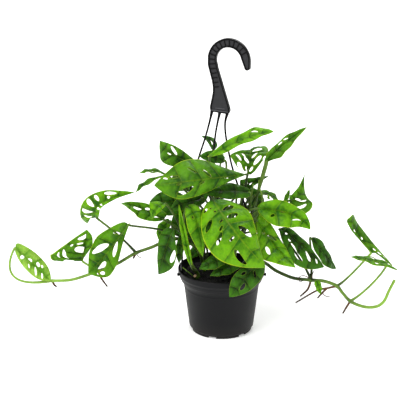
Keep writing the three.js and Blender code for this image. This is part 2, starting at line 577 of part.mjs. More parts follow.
    base: [-34, -12, 128], tip: [-86, -38, 118], face: [0, -1, 0.7], bow: 5, width: [14, 15],
    pattern: 'plain' },
  { name: 'leaf_right_inner', green: 'dark', stem: 'stem_middle', node: [24, -14, 40],
    leave: [4, 34, 36],
    base: [42, 28, 130], tip: [74, 30, 94], face: [0.2, -1, 0.5], bow: 5, width: [14, 13],
    pattern: 'plain' },
  { name: 'leaf_inner_gap', green: 'dark', stem: 'stem_back', node: [2, 26, 50],
    leave: [-8, -2, 40],
    base: [-25, 36, 128], tip: [-50, 36, 95], face: [-0.2, -1, 0.4], bow: 3, width: [11, 11],
    pattern: 'plain' },
  { name: 'leaf_rim_left', green: 'dark', stem: 'vine_left', node: [-62, -22, 57],
    leave: [-2, -10, 4],
    base: [-68, -38, 71], tip: [-72, -46, 24], face: [-0.4, -1, 0.2], bow: 2, width: [7, 7],
    pattern: 'plain',
    arrive: [2, 6, -4] },
  { name: 'leaf_inner_low', green: 'dark', stem: 'vine_left', node: [-30, 4, 0],
    leave: [6, 12, 10],
    base: [-30, 13, 36], tip: [-60, 7, 12], face: [-0.2, -1, 0.5], bow: 3, width: [9, 9],
    pattern: 'plain',
    arrive: [8, 4, -8],
    lobe: [0, 0] },
  { name: 'leaf_vine_left_1', green: 'mid', stem: 'vine_left', node: [-62, -22, 57],
    leave: [-24, -28, 36],
    base: [-155, -57, 98], tip: [-221, -81, 21], face: [-0.5, -1.2, 0.9], bow: 8, width: [28, 34],
    swell: [0.64, 0.4], open: [[0, 0.4, 0.6, 0.6], [0, 0.5, 0.6, 0.3]], lobe: [0.22, 0.1],
    fold: [-14, 12], sway: [9, 0, -12],
    arrive: [0, 11, -9] },
  { name: 'leaf_vine_left_2', green: 'bright', stem: 'vine_left', node: [-144, -42, 42],
    leave: [-30, 6, 34],
    base: [-210, -31, 101], tip: [-145, -19, 141], face: [-0.3, -1, 0.5], bow: 25, width: [27, 8],
    arrive: [8, 0, -8], swell: [0.14, 0.14], lobe: [0.98, -0.05], pattern: 'medium',
    open: [[0, 0.7, 0.6, 0.4], [0, 0.4, 0.4]], fold: [27, 6], sway: [-28, -7, 3] },
  { name: 'leaf_vine_left_3', green: 'mid', stem: 'vine_left', node: [-208, -45, 10],
    leave: [-14, 3, 8],
    base: [-235, -42, 27], tip: [-224, -52, 87], face: [-0.2, -1, 0.3], bow: 0, width: [54, 13],
    arrive: [8, 0, -6], swell: [0.14, 0.68], lobe: [0.59, -0.05], pattern: 'medium',
    open: [[0, 0.7, 0.6, 0.4], [0, 0.6, 0.4, 0.3]], fold: [38, 11], sway: [-1, 2, -17] },
  { name: 'leaf_vine_left_4', green: 'bright', stem: 'vine_left', node: [-288, -40, -9.5],
    leave: [-104, 2, -20],
    base: [-347, -38, 50], tip: [-289, -43, -9], face: [0.2, -1, 0.5], bow: 2, width: [17, 15],
    pattern: 'medium', open: [[0.3, 0.7, 0.7, 0.6], [0.3, 0.5, 0.5, 0.4]], swell: [0.32, 0.36],
    lobe: [0.18, 0], fold: [12, 15], sway: [11, 1, -12],
    arrive: [-4, 6, -6] },
  { name: 'leaf_vine_right_1', green: 'mid', stem: 'vine_right', node: [197, -24, -26],
    leave: [20, -2, 14],
    base: [254, -22, 34], tip: [220, -23, 104], face: [0.3, -0.9, 0.5], bow: -8, width: [10, 24],
    arrive: [-8, 5, -11], swell: [0.7, 0.15], lobe: [0.49, 1.27], pattern: 'small',
    open: [[0, 0.3, 0.3], [0, 0.5, 0.3]], fold: [10, -18], sway: [-18, 11, 13] },
  { name: 'leaf_vine_right_2', green: 'mid', stem: 'vine_right', node: [221, -26, -53],
    leave: [22, -2, 14],
    base: [276, -50, 24], tip: [212, -66, 44], face: [0.1, 0, 1], bow: 1, width: [18, 20],
    arrive: [-3, 4, -16], swell: [0.25, 0.25], lobe: [0.7, 0.4], pattern: 'small',
    open: [[0, 0.4, 0.2], [0, 0.4, 0]] },
];

// ---------------------------------------------------------------- stems

// Each stem's route starts in its planting hole. Roots are [start, ..., end] routes.
const STEMS = [
  { name: 'stem_middle', roots: [],
    route: [[18, -12, -48], [18, -12, -30], [18, -12, -7], [20, -13, 10], [24, -14, 40], [28, -12, 75]] },
  { name: 'stem_back', roots: [],
    route: [[5, 24, -48], [5, 24, -30], [5, 24, -7], [4, 25, 15], [2, 26, 50], [-2, 24, 90]] },
  { name: 'stem_front', roots: [],
    route: [[-40, -18, -48], [-40, -18, -30], [-40, -18, -7], [-45, -21, 2], [-53, -26, 20]] },
  { name: 'vine_left', route: [[-30, 4, -48], [-30, 4, -30], [-30, 4, -7], [-32, -1, 6], [-38, -8, 30],
    [-48, -14, 45], [-62, -22, 57], [-80, -28, 62], [-95, -31, 59], [-118, -38, 50.5], [-144, -42, 42],
    [-177, -45, 23], [-208, -45, 10.5], [-227, -45, 3], [-256, -42, -7], [-288, -40, -9.5]],
    roots: [[[-144, -42, 42], [-146, -44, 38], [-149, -46, 33]],
      [[-208, -45, 10], [-203, -47, -2], [-193, -50, -16]],
      [[-287, -40, -9], [-284, -41, -16], [-280, -41, -20]]] },
  { name: 'vine_right', route: [[34, 2, -48], [34, 2, -30], [34, 2, -7], [37, -2, 6], [52, -14, 20],
    [66, -8, 14], [77, 0, 6], [90, -4, -3], [104, -9, -9], [124, -15, -14.8], [153, -20, -16.2],
    [175, -22, -17.5], [197.5, -24, -26], [208, -25, -39], [221, -26, -53], [240, -26, -62],
    [255, -26, -64.5], [269, -26, -62], [279, -26, -53], [286, -26, -35], [295, -26, -14]],
    roots: [[[153, -20, -16], [148, -22, -32], [135, -24, -45]],
      [[197, -24, -26], [180, -26, -29], [165, -27, -32], [127, -28, -55]],
      [[180, -26, -29], [172, -26, -38], [165, -24, -48]],
      [[221, -26, -53], [214, -26, -66], [209, -26, -76]]] },
];

// A petiole leaves its node, then runs into the start of its blade in the midrib's line,
// or along leaf.arrive where it bends sharply under the blade.
function petiole(leaf) {
  const base = bladePoint(leaf, 0, 1, 0);
  const ahead = bladePoint(leaf, 0.02, 1, 0).sub(base).normalize();
  const start = vector(leaf.node);
  const inLine = ahead.multiplyScalar(-ARRIVAL * start.distanceTo(base));
  const arrival = leaf.arrive ? vector(leaf.arrive) : inLine;
  const seat = leaf.arrive ? BENT_SEAT : SEAT;
  const end = base.addScaledVector(arrival.clone().normalize(), seat);
  const before = end.clone().add(arrival);
  const curve = new THREE.CubicBezierCurve3(start, start.clone().add(vector(leaf.leave)), before, end);
  return tubeAlong(curve, PETIOLE_RADIUS, 4, 4);
}

function stem(spec) {
  const petioles = LEAVES.filter((leaf) => leaf.stem === spec.name).map(petiole);
  const roots = spec.roots.map((route) => tube(route, ROOT_RADIUS, 4, 2));
  return piece(spec.name, join([tube(spec.route, STEM_RADIUS, 7), ...petioles, ...roots]), stalk);
}

// ---------------------------------------------------------------- the whole plant

const plant = new THREE.Group();
plant.add(pot());
plant.add(soil(STEMS.map(({ route }) => route[0])));
plant.add(hanger());
for (const spec of STEMS) {
  plant.add(stem(spec));
}
for (const leaf of LEAVES) {
  plant.add(piece(leaf.name, bladeGeometry(leaf), greens[leaf.green]));
}

// The hook bears on its rail at the top of its eye.
const [hookX, hookY] = onPlate(HOOK_CENTRE[0], 0);
plant.position.set(-hookX, -hookY, -(HOOK_CENTRE[1] + HOOK_INNER + 1));

export default plant;
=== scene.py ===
import math

import bmesh
import bpy
from mathutils import Matrix, Vector, noise
from mathutils.geometry import delaunay_2d_cdt


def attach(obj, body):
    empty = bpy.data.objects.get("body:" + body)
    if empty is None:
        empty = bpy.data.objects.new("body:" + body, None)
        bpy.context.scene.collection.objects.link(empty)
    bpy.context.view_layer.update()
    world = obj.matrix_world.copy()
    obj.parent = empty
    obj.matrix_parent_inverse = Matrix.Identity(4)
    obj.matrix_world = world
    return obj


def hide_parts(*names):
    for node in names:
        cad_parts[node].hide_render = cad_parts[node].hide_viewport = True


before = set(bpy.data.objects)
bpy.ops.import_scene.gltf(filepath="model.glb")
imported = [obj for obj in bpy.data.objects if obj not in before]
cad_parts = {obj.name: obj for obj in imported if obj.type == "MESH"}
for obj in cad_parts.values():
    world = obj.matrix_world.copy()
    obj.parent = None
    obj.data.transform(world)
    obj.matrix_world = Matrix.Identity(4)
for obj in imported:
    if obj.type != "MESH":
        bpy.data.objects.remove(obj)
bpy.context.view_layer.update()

# ---------------------------------------------------------------- the pot
# A 15 cm hanging nursery pot, injection moulded in one piece from charcoal polypropylene.
# Its collar tapers from the rim into the wall past three shallow rings. It stands on a
# notched foot, and slots in its floor drain it.

# The plant is set out in millimetres round the pot's axis, with the rim's plane at z = 0.
# The frame's origin is where the hook bears on its rail.
HOOK_BEARING = Vector((10.98, -5.244, 382.5))

POT_HEIGHT = 112
FOOT_HEIGHT = 4
BASE_RADIUS = 56
RIM_RADIUS = 75
WALL = 1.8
FLOOR = FOOT_HEIGHT - POT_HEIGHT
# A drain is a box: how far its middle lies inside the base's radius, its height and its size.
NOTCHES = 6
NOTCH = (5.5, -POT_HEIGHT, (14, 14, 6.4))
FLOOR_SLOT = (22, FLOOR + 1, (14, 6, 8))


def place(point):
    """From the pot's millimetres to the frame's metres."""
    return (Vector(point) - HOOK_BEARING) / 1000


def linear(code):
    """An sRGB colour such as #8dc52f as the linear colour that a socket takes."""
    shares = [int(code[i:i + 2], 16) / 255 for i in (1, 3, 5)]
    return [s / 12.92 if s <= 0.04045 else ((s + 0.055) / 1.055) ** 2.4 for s in shares] + [1]


def output(source):
    """A node stands for its first output in use; whatever else is given stays as it is."""
    if isinstance(source, bpy.types.Node):
        return next(end for end in source.outputs if end.enabled)
    return source


def add(tree, kind, inputs=None, **settings):
    """Adds a node. An input is named or numbered, and is a value, another node or its output."""
    made = tree.nodes.new(kind)
    for name, value in settings.items():
        setattr(made, name, value)
    for name, value in (inputs or {}).items():
        value = output(value)
        if isinstance(value, bpy.types.NodeSocket):
            tree.links.new(value, made.inputs[name])
        else:
            made.inputs[name].default_value = value
    return made


def surface(name, **sockets):
    """A new material with its shader's own sockets set. Returns it, its tree and its shader."""
    material = bpy.data.materials.new(name)
    material.use_nodes = True
    shader = material.node_tree.nodes["Principled BSDF"]
    for socket, value in sockets.items():
        shader.inputs[socket.replace("_", " ")].default_value = value
    return material, material.node_tree, shader


def finish(tree, shader, **ends):
    """Links the last nodes of a material to its shader's sockets."""
    for socket, end in ends.items():
        tree.links.new(output(end), shader.inputs[socket.replace("_", " ")])


def rounded(profile, radius, steps=3):
    """The same open profile with each corner turned into a short curve."""
    points = [Vector(p) for p in profile]
    smooth = [points[0]]
    for before, corner, after in zip(points, points[1:], points[2:]):
        reach = min(radius, (before - corner).length / 2.1, (after - corner).length / 2.1)
        start = corner + (before - corner).normalized() * reach
        end = corner + (after - corner).normalized() * reach
        for i in range(steps + 1):
            t = i / steps
            smooth.append(start * (1 - t) ** 2 + corner * 2 * t * (1 - t) + end * t ** 2)
    return smooth + [points[-1]]


def turned(profile, steps):
    """Points and faces of a closed solid, from a profile of (radius, z) turned about Z. Its
    two ends lie on the axis."""
    rings = profile[1:-1]
    points = [(0, 0, profile[0][1])]
    for radius, z in rings:
        for i in range(steps):
            angle = 2 * math.pi * i / steps
            points.append((radius * math.cos(angle), radius * math.sin(angle), z))
    points.append((0, 0, profile[-1][1]))
    faces = []
    for i in range(steps):
        j = (i + 1) % steps
        faces.append((0, 1 + j, 1 + i))
        for ring in range(len(rings) - 1):
            low = 1 + ring * steps
            faces.append((low + i, low + j, low + steps + j, low + steps + i))
        top = 1 + (len(rings) - 1) * steps
        faces.append((top + i, top + j, len(points) - 1))
    return points, faces


def smooth_sides(mesh, degrees=35):
    """Smooth shading, with a crease wherever two faces meet at more than this angle."""
    shape = bmesh.new()
    shape.from_mesh(mesh)
    for face in shape.faces:
        face.smooth = True
    for edge in shape.edges:
        edge.smooth = edge.calc_face_angle(0) < math.radians(degrees)
    shape.to_mesh(mesh)
    shape.free()


def shown(name, data, *materials):
    """An object of that name in the scene, with these materials on its data."""
    for material in materials:
        data.materials.append(material)
    made = bpy.data.objects.new(name, data)
    bpy.context.scene.collection.objects.link(made)
    return made


def make(name, points, faces, *materials):
    """A mesh object from points in the pot's millimetres."""
    mesh = bpy.data.meshes.new(name)
    mesh.from_pydata([place(p) for p in points], [], faces)
    smooth_sides(mesh)
    return shown(name, mesh, *materials)


def solid(name, shape, *materials):
    """A mesh object from a bmesh in the pot's millimetres, which it uses up."""
    for vertex in shape.verts:
        vertex.co = place(vertex.co)
    mesh = bpy.data.meshes.new(name)
    shape.to_mesh(mesh)
    shape.free()
    smooth_sides(mesh)
    return shown(name, mesh, *materials)


def settle(made):
    """Makes what the object's modifiers give its plain mesh, and takes them off."""
    bpy.context.view_layer.update()
    found = made.evaluated_get(bpy.context.evaluated_depsgraph_get())
    mesh = bpy.data.meshes.new_from_object(found)
    name = made.name
    bpy.data.objects.remove(made)
    return shown(name, mesh)


def mount(made, slot, *nodes):
    """The piece rides with the plant and stands for these nodes. The slot is not used."""
    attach(made, "root")
    if nodes:
        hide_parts(*nodes)


# Charcoal polypropylene, moulded matt: a soft grey sheen with a faint grain, a little
# uneven where the melt flowed, and dusty with peat low down.
plastic, tree, shader = surface("moulded_polypropylene", Roughness=0.5, IOR=1.49, Specular_IOR_Level=0.2)
where = add(tree, "ShaderNodeTexCoord").outputs["Object"]
# Flow marks are about 40 mm across, the grain 0.9 mm.
flow = add(tree, "ShaderNodeTexNoise", {"Vector": where, "Scale": 25, "Detail": 3})
grain = add(tree, "ShaderNodeTexNoise", {"Vector": where, "Scale": 1100, "Detail": 2})
height = add(tree, "ShaderNodeSeparateXYZ", {"Vector": where})
low_down = add(tree, "ShaderNodeMapRange", {
    "Value": height.outputs["Z"], "From Min": -0.49, "From Max": -0.466, "To Min": 0.25, "To Max": 0})
dusty = add(tree, "ShaderNodeMath", {0: low_down, 1: flow}, operation="MULTIPLY")
colour = add(tree, "ShaderNodeMix", {
    0: flow, 6: linear("#050507"), 7: linear("#090a0d")}, data_type="RGBA")
colour = add(tree, "ShaderNodeMix", {0: dusty, 6: colour, 7: linear("#3d3832")}, data_type="RGBA")
gloss = add(tree, "ShaderNodeMapRange", {"Value": flow, "To Min": 0.42, "To Max": 0.6})
bump = add(tree, "ShaderNodeBump", {"Height": grain, "Strength": 0.25, "Distance": 0.0002})
finish(tree, shader, Base_Color=colour, Roughness=gloss, Normal=bump)

POT_PROFILE = [
    (0, FLOOR), (48, FLOOR), (48, -POT_HEIGHT), (53, -POT_HEIGHT), (53, FLOOR + 1), (56, FLOOR + 3),
    (64.3, -35), (64.9, -32.6), (64.7, -31), (65, -29), (65.6, -27), (68.3, -22.2), (69.8, -20.6),
    (71.9, -15.4), (72, -14.2), (74.1, -10.4), (74.8, -9.4), (75, -1), (74.2, 0), (73.2, -1),
    (72.6, -10), (63.2, -28), (54.2, FLOOR + 3), (52.2, FLOOR + WALL), (0, FLOOR + WALL)]
pot = make("pot_shell", *turned(rounded(POT_PROFILE, 1), 120), plastic)
cutters = bmesh.new()
for i in range(NOTCHES):
    for offset, (inset, z, size) in ((0.2, NOTCH), (0.7, FLOOR_SLOT)):
        turn = Matrix.Rotation(2 * math.pi * (i + offset) / NOTCHES, 4, "Z")
        cut = turn @ Matrix.Translation((BASE_RADIUS - inset, 0, z)) @ Matrix.Diagonal((*size, 1))
        bmesh.ops.create_cube(cutters, matrix=cut)
drains = solid("drain_cutters", cutters)
pot.modifiers.new("drains", "BOOLEAN").object = drains
pot = settle(pot)
bpy.data.objects.remove(drains)
smooth_sides(pot.data)
mount(pot, "pot_plastic", "pot")

# ---------------------------------------------------------------- the soil
# Peaty potting mix, pressed in by hand to 13 mm under the rim and lumpy round the stems.
# Its dark wet peat is painted nearly black, partly as painted shade, with crumbs of peat and a few chips
# of pine bark.
SOIL_DROP = 13
SOIL_CROWN = 2.5
SOIL_RINGS = 34
SOIL_STEPS = 96
SOIL_EDGE = 66


def soil_height(x, y):
    """The soil's surface: a low crown, with lumps 20 to 40 mm across and a crumble of 5 mm."""
    crown = SOIL_CROWN * (1 - (x * x + y * y) / (RIM_RADIUS * RIM_RADIUS))
    lumps = 1.1 * math.sin(0.21 * x + 1.3) * math.cos(0.17 * y) + 0.8 * math.sin(0.33 * y - 0.12 * x)
    crumble = 1.6 * noise.fractal(Vector((x, y, 7)) / 5, 1, 2, 3)
    return -SOIL_DROP + crown + lumps + crumble


def two_tones(tree, shader, share, first, second, height, strength, depth):
    """Ends a material. Its colour runs from the first to the second with the share, and its
    relief follows the height, this many millimetres deep."""
    colour = add(tree, "ShaderNodeMix", {0: share, 6: linear(first), 7: linear(second)}, data_type="RGBA")
    bump = add(tree, "ShaderNodeBump", {"Height": height, "Strength": strength, "Distance": depth / 1000})
    finish(tree, shader, Base_Color=colour, Normal=bump)


# Peat: no sheen at all, dark brown to black, in clods of 4 mm and crumbs of 1 mm. Its near black is partly
# painted shade.
peat, tree, shader = surface("peat_potting_mix", Roughness=0.96, IOR=1.4)
where = add(tree, "ShaderNodeTexCoord").outputs["Object"]
clods = add(tree, "ShaderNodeTexVoronoi", {"Vector": where, "Scale": 250})
crumbs = add(tree, "ShaderNodeTexNoise", {"Vector": where, "Scale": 900, "Detail": 4})
two_tones(tree, shader, crumbs, "#020202", "#0b0805", height=clods, strength=0.8, depth=1)

soil_floor = FLOOR + WALL + 0.3
soil_profile = [(0, soil_floor), (BASE_RADIUS - 4.1, soil_floor), (BASE_RADIUS - 2.3, soil_floor + 2.4),
                (62.2, -28.4), (66.2, -16)]
soil_profile += [(SOIL_EDGE * (1 - i / SOIL_RINGS), 0) for i in range(SOIL_RINGS + 1)]
points, faces = turned(soil_profile, SOIL_STEPS)
points = [(x, y, soil_height(x, y)) if z == 0 else (x, y, z) for x, y, z in points]
soil = make("potting_mix", points, faces, peat)
mount(soil, "potting_soil", "soil")

# Bark chips: dry pine bark, tan and papery.
bark, tree, shader = surface("pine_bark_chips", Roughness=0.9, IOR=1.45)
where = add(tree, "ShaderNodeTexCoord").outputs["Object"]
fibre = add(tree, "ShaderNodeTexNoise", {"Vector": where, "Scale": 500, "Detail": 4})
two_tones(tree, shader, fibre, "#3a2918", "#6b5236", height=fibre, strength=0.5, depth=0.4)


def node_tree(name, **inputs):
    """A new Geometry Nodes tree with named inputs of these kinds, a geometry input first."""
    made = bpy.data.node_groups.new(name, "GeometryNodeTree")
    made.interface.new_socket(name="Geometry", in_out="INPUT", socket_type="NodeSocketGeometry")
    for socket, kind in inputs.items():
        made.interface.new_socket(name=socket, in_out="INPUT", socket_type="NodeSocket" + kind)
    made.interface.new_socket(name="Geometry", in_out="OUTPUT", socket_type="NodeSocketGeometry")
    return made, add(made, "NodeGroupInput")


def close(tree, geometry, given):
    """Ends a tree: real meshes, then their material."""
    real = add(tree, "GeometryNodeRealizeInstances", {"Geometry": geometry})
    material = given.outputs["Material"]
    painted = add(tree, "GeometryNodeSetMaterial", {"Geometry": real, "Material": material})
    add(tree, "NodeGroupOutput", {"Geometry": painted})


def run(made, tree, **values):
    """Puts the tree on the object with these inputs and returns the plain mesh object it gives."""
    modifier = made.modifiers.new(tree.name, "NODES")
    modifier.node_group = tree
    for socket, value in values.items():
        modifier[tree.interface.items_tree[socket].identifier] = value
    return settle(made)


# Crumbs lie all over the soil's surface, each turned and sized by chance.
crumbs_on_soil, given = node_tree("crumbs_on_soil", Density="Float", Size="Float", Seed="Int",
                                  Material="Material")
spots = add(crumbs_on_soil, "GeometryNodeDistributePointsOnFaces", {
    "Mesh": given, "Density": given.outputs["Density"], "Seed": given.outputs["Seed"]})
crumb = add(crumbs_on_soil, "GeometryNodeMeshIcoSphere", {
    "Radius": given.outputs["Size"], "Subdivisions": 1})
turn = add(crumbs_on_soil, "FunctionNodeRandomValue", {
    0: (0, 0, 0), 1: (6.3, 6.3, 6.3), "Seed": given.outputs["Seed"]}, data_type="FLOAT_VECTOR")
size = add(crumbs_on_soil, "FunctionNodeRandomValue", {
    0: (0.5, 0.4, 0.2), 1: (1.7, 1.1, 0.7), "Seed": 5}, data_type="FLOAT_VECTOR")
strewn = add(crumbs_on_soil, "GeometryNodeInstanceOnPoints", {
    "Points": spots, "Instance": crumb, "Rotation": turn, "Scale": size})
close(crumbs_on_soil, strewn, given)

# The ground that they are strewn on is a disc just above the soil, without a far side.
disc, disc_faces = turned([(SOIL_EDGE * i / 12, 0) for i in range(13)] + [(0, 0)], 36)
ground = [(x, y, soil_height(x, y) + 0.2) for x, y, z in disc[:-1]]
ground_faces = [tuple(reversed(face)) for face in disc_faces if len(ground) not in face]
for name, material, density, seed in (("peat_crumbs", peat, 60000, 3), ("bark_chips", bark, 1500, 8)):
    patch = make(name, ground, ground_faces, material)
    crumbs = run(patch, crumbs_on_soil, Density=density, Size=0.0013, Seed=seed, Material=material)
    mount(crumbs, "potting_soil")

# ---------------------------------------------------------------- the hanger
# A moulded hook with three strands, of the same polypropylene as the pot. The hook's plate is
# ribbed across, the strands snap into the rim with clips inside and headed pegs outside.
HOOK_CENTRE = (14, 360.5)
HOOK_OUTER = 36.5
HOOK_INNER = 22
PLATE = 6
PLATE_BORDER = 2.4
PLATE_TURN = math.radians(-22)
PLATE_X = -2
STRAND_TOP = 3.1
STRAND = 1.65
STRANDS_START = 276
CLIP_ANGLES = (195, 345, 100)
CLIP_DROP = 6
PEG = 1.6
PEG_HEAD = 3
# Where each strand leaves the hook's foot, and its way down towards the rim.
STRANDS = [
    (-15.5, [(-20, 2, 260), (-28, 0, 230), (-39, -4, 196), (-58, -11, 120), (-68, -16, 60)]),
    (12, [(5, -5, 258), (5.5, -6, 240), (11, -9, 208), (20, -12, 172), (48, -16, 90)]),
    (-1.5, [(-7, 3, 258), (-11, 9, 233), (-15, 22, 182), (-19, 50, 100), (-18, 64, 50)])]


def on_plate(across, up, out=0):
    """From the plate's own plane to the pot's millimetres; out is towards its front face."""
    return Vector((PLATE_X + across * math.cos(PLATE_TURN) + out * math.sin(PLATE_TURN),
                   across * math.sin(PLATE_TURN) - out * math.cos(PLATE_TURN), up))


def arc(centre, radius, start, end, steps):
    """Points on an arc between two angles in degrees."""
    angles = [math.radians(start + (end - start) * i / steps) for i in range(steps + 1)]
    return [(centre[0] + radius * math.cos(a), centre[1] + radius * math.sin(a)) for a in angles]


def soften(made, width):
    """Rounds the object's edges by this width."""
    edges = made.modifiers.new("edges", "BEVEL")
    edges.width = width / 1000
    edges.segments = 2


# The hook's border and ribs are glossy and look black; its sunk faces are eroded matt and
# scatter a soft grey, in blotches of 5 mm.
bright_edge = surface("gloss_black_polypropylene", Roughness=0.4, IOR=1.49,
                      Specular_IOR_Level=0.12, Base_Color=linear("#050506"))[0]
sunk_face, tree, shader = surface("eroded_polypropylene", Roughness=0.75, IOR=1.49)
where = add(tree, "ShaderNodeTexCoord").outputs["Object"]
blotch = add(tree, "ShaderNodeTexNoise", {"Vector": where, "Scale": 200, "Detail": 3})
colour = add(tree, "ShaderNodeMix", {
    0: blotch, 6: linear("#121214"), 7: linear("#2a2a2e")}, data_type="RGBA")
finish(tree, shader, Base_Color=colour)

outline = rounded([(-2, 273), (14.5, 272), (16.5, 279), (-5.5, 347)], 4)
outline += arc(HOOK_CENTRE, HOOK_INNER, 201.6, 14.4, 40)
outline += arc((45.8, 352.2), 4.9, 215, 340, 10)
outline += arc(HOOK_CENTRE, HOOK_OUTER, 0, 172, 40)
outline += rounded([(-22.3, 352), (-18, 336), (-14, 322), (-13, 308), (-18.8, 281), (-17.5, 274),
                    (-2, 273)], 8)[:-1]
plate = bmesh.new()
face = plate.faces.new([plate.verts.new(on_plate(*p, -PLATE / 2)) for p in outline])
bmesh.ops.recalc_face_normals(plate, faces=[face])
front = bmesh.ops.extrude_face_region(plate, geom=[face])["geom"]
for vertex in (g for g in front if isinstance(g, bmesh.types.BMVert)):
    vertex.co += on_plate(0, 0, PLATE) - on_plate(0, 0)
bmesh.ops.remove_doubles(plate, verts=plate.verts, dist=0.05)
bmesh.ops.recalc_face_normals(plate, faces=plate.faces)
# Both broad faces are sunk inside their border.
for side in [f for f in plate.faces if len(f.verts) > 8]:
    bmesh.ops.inset_region(plate, faces=[side], thickness=PLATE_BORDER, depth=0)
    bmesh.ops.inset_region(plate, faces=[side], thickness=0.5, depth=-1.1)
    side.material_index = 1
hook = solid("hook_plate", plate, bright_edge, sunk_face)
soften(hook, 0.5)
mount(hook, "hanger_plastic", "hanger")


def line_object(name, splines):
    """A curve object from lists of (point, radius), in the pot's millimetres."""
    curve = bpy.data.curves.new(name, "CURVE")
    curve.dimensions = "3D"
    for route in splines:
        spline = curve.splines.new("POLY")
        spline.points.add(len(route) - 1)
        for point, (at, radius) in zip(spline.points, route):
            point.co = (*place(at), 1)
            point.radius = radius / 1000
    return shown(name, curve)


# Cross ribs, set every 7.5 mm along the middle of the hook.
ribs_along, given = node_tree("ribs_along_hook", Spacing="Float", Width="Float", Face="Vector",
                              Material="Material")
spots = add(ribs_along, "GeometryNodeCurveToPoints", {
    "Curve": given, "Length": given.outputs["Spacing"]}, mode="LENGTH")
rib_size = add(ribs_along, "ShaderNodeCombineXYZ", {
    "X": 0.0016, "Y": 0.0018, "Z": given.outputs["Width"]})
rib = add(ribs_along, "GeometryNodeMeshCube", {"Size": rib_size})
along = add(ribs_along, "FunctionNodeAlignRotationToVector", {
    "Vector": spots.outputs["Tangent"]}, axis="X")
flat = add(ribs_along, "FunctionNodeAlignRotationToVector", {
    "Rotation": along, "Vector": given.outputs["Face"]}, axis="Y", pivot_axis="X")
ribs = add(ribs_along, "GeometryNodeInstanceOnPoints", {
    "Points": spots, "Instance": rib, "Rotation": flat})
close(ribs_along, ribs, given)

middle = arc(HOOK_CENTRE, (HOOK_OUTER + HOOK_INNER) / 2, 28, 190, 40)
middle += [(-13.2, 345), (-10.6, 333), (-8, 321), (-7.3, 316)]
outwards = on_plate(0, 0, 1) - on_plate(0, 0)
for name, out in (("ribs_front", PLATE / 2 - 0.9), ("ribs_back", 0.9 - PLATE / 2)):
    spine = line_object(name, [[(on_plate(*p, out), 1) for p in middle]])
    ribs = run(spine, ribs_along, Spacing=0.0075, Width=0.0092, Face=outwards, Material=bright_edge)
    mount(ribs, "hanger_plastic")

# Whatever follows a path is a tube with its own radius at each point.
tubes, given = node_tree("tubes_on_paths", Sides="Int", Spacing="Float", Material="Material")
even = add(tubes, "GeometryNodeResampleCurve", {
    "Curve": given, "Length": given.outputs["Spacing"]}, mode="LENGTH")
share = add(tubes, "GeometryNodeSplineParameter")
marked = add(tubes, "GeometryNodeStoreNamedAttribute", {
    "Geometry": even, "Name": "along", "Value": share}, data_type="FLOAT", domain="POINT")
ring = add(tubes, "GeometryNodeCurvePrimitiveCircle", {"Resolution": given.outputs["Sides"], "Radius": 1})
thickness = add(tubes, "GeometryNodeInputNamedAttribute", {"Name": "radius"}, data_type="FLOAT")
skin = add(tubes, "GeometryNodeCurveToMesh", {
    "Curve": marked, "Profile Curve": ring, "Scale": thickness, "Fill Caps": True})
close(tubes, skin, given)


def tube_piece(name, lines, sides, spacing, material):
    """Tubes along lists of (point, radius), with rings at this spacing, as one piece."""
    piece = run(line_object(name, lines), tubes, Sides=sides, Spacing=spacing / 1000, Material=material)
    smooth_sides(piece.data, 50)
    return piece


def through(route, radii, steps=8):
    """A smooth line through the route's points (a centripetal Catmull-Rom spline), as
    (point, radius); the radii are spread evenly along it."""
    points = [Vector(p) for p in route]
    points = [2 * points[0] - points[1]] + points + [2 * points[-1] - points[-2]]
    line = []
    for i in range(1, len(points) - 2):
        p0, p1, p2, p3 = points[i - 1:i + 3]
        d0, d1, d2 = [math.sqrt((b - a).length) for a, b in ((p0, p1), (p1, p2), (p2, p3))]
        leave = ((p1 - p0) / d0 - (p2 - p0) / (d0 + d1) + (p2 - p1) / d1) * d1
        arrive = ((p2 - p1) / d1 - (p3 - p1) / (d1 + d2) + (p3 - p2) / d2) * d1
        for k in range(steps + (i == len(points) - 3)):
            t = k / steps
            line.append(p1 + leave * t + (3 * (p2 - p1) - 2 * leave - arrive) * t * t
                        + (2 * (p1 - p2) + leave + arrive) * t ** 3)
    last = len(radii) - 1
    thick = []
    for i in range(len(line)):
        at = last * i / (len(line) - 1)
        low = min(int(at), last - 1)
        thick.append(radii[low] + (radii[low + 1] - radii[low]) * (at - low))
    return list(zip(line, thick))


# Two low beads cross the hook's foot over the strands, in a pale grey: a painted highlight along the edge
# of the foot's border.
painted_highlight = surface("painted_highlight_polypropylene", Roughness=0.7, IOR=1.49, Base_Color=linear("#4a4a4e"))[0]
highlight_bead_out = PLATE / 2 - 0.2
highlight_beads = [[(on_plate(-16, 276.6, highlight_bead_out), 0.7), (on_plate(13, 275.6, highlight_bead_out), 0.7)],
         [(on_plate(-9, 280.5, highlight_bead_out - 0.9), 0.6), (on_plate(7, 280, highlight_bead_out - 0.9), 0.6)]]
mount(tube_piece("foot_highlight_beads", highlight_beads, sides=8, spacing=3, material=painted_highlight), "hanger_plastic")

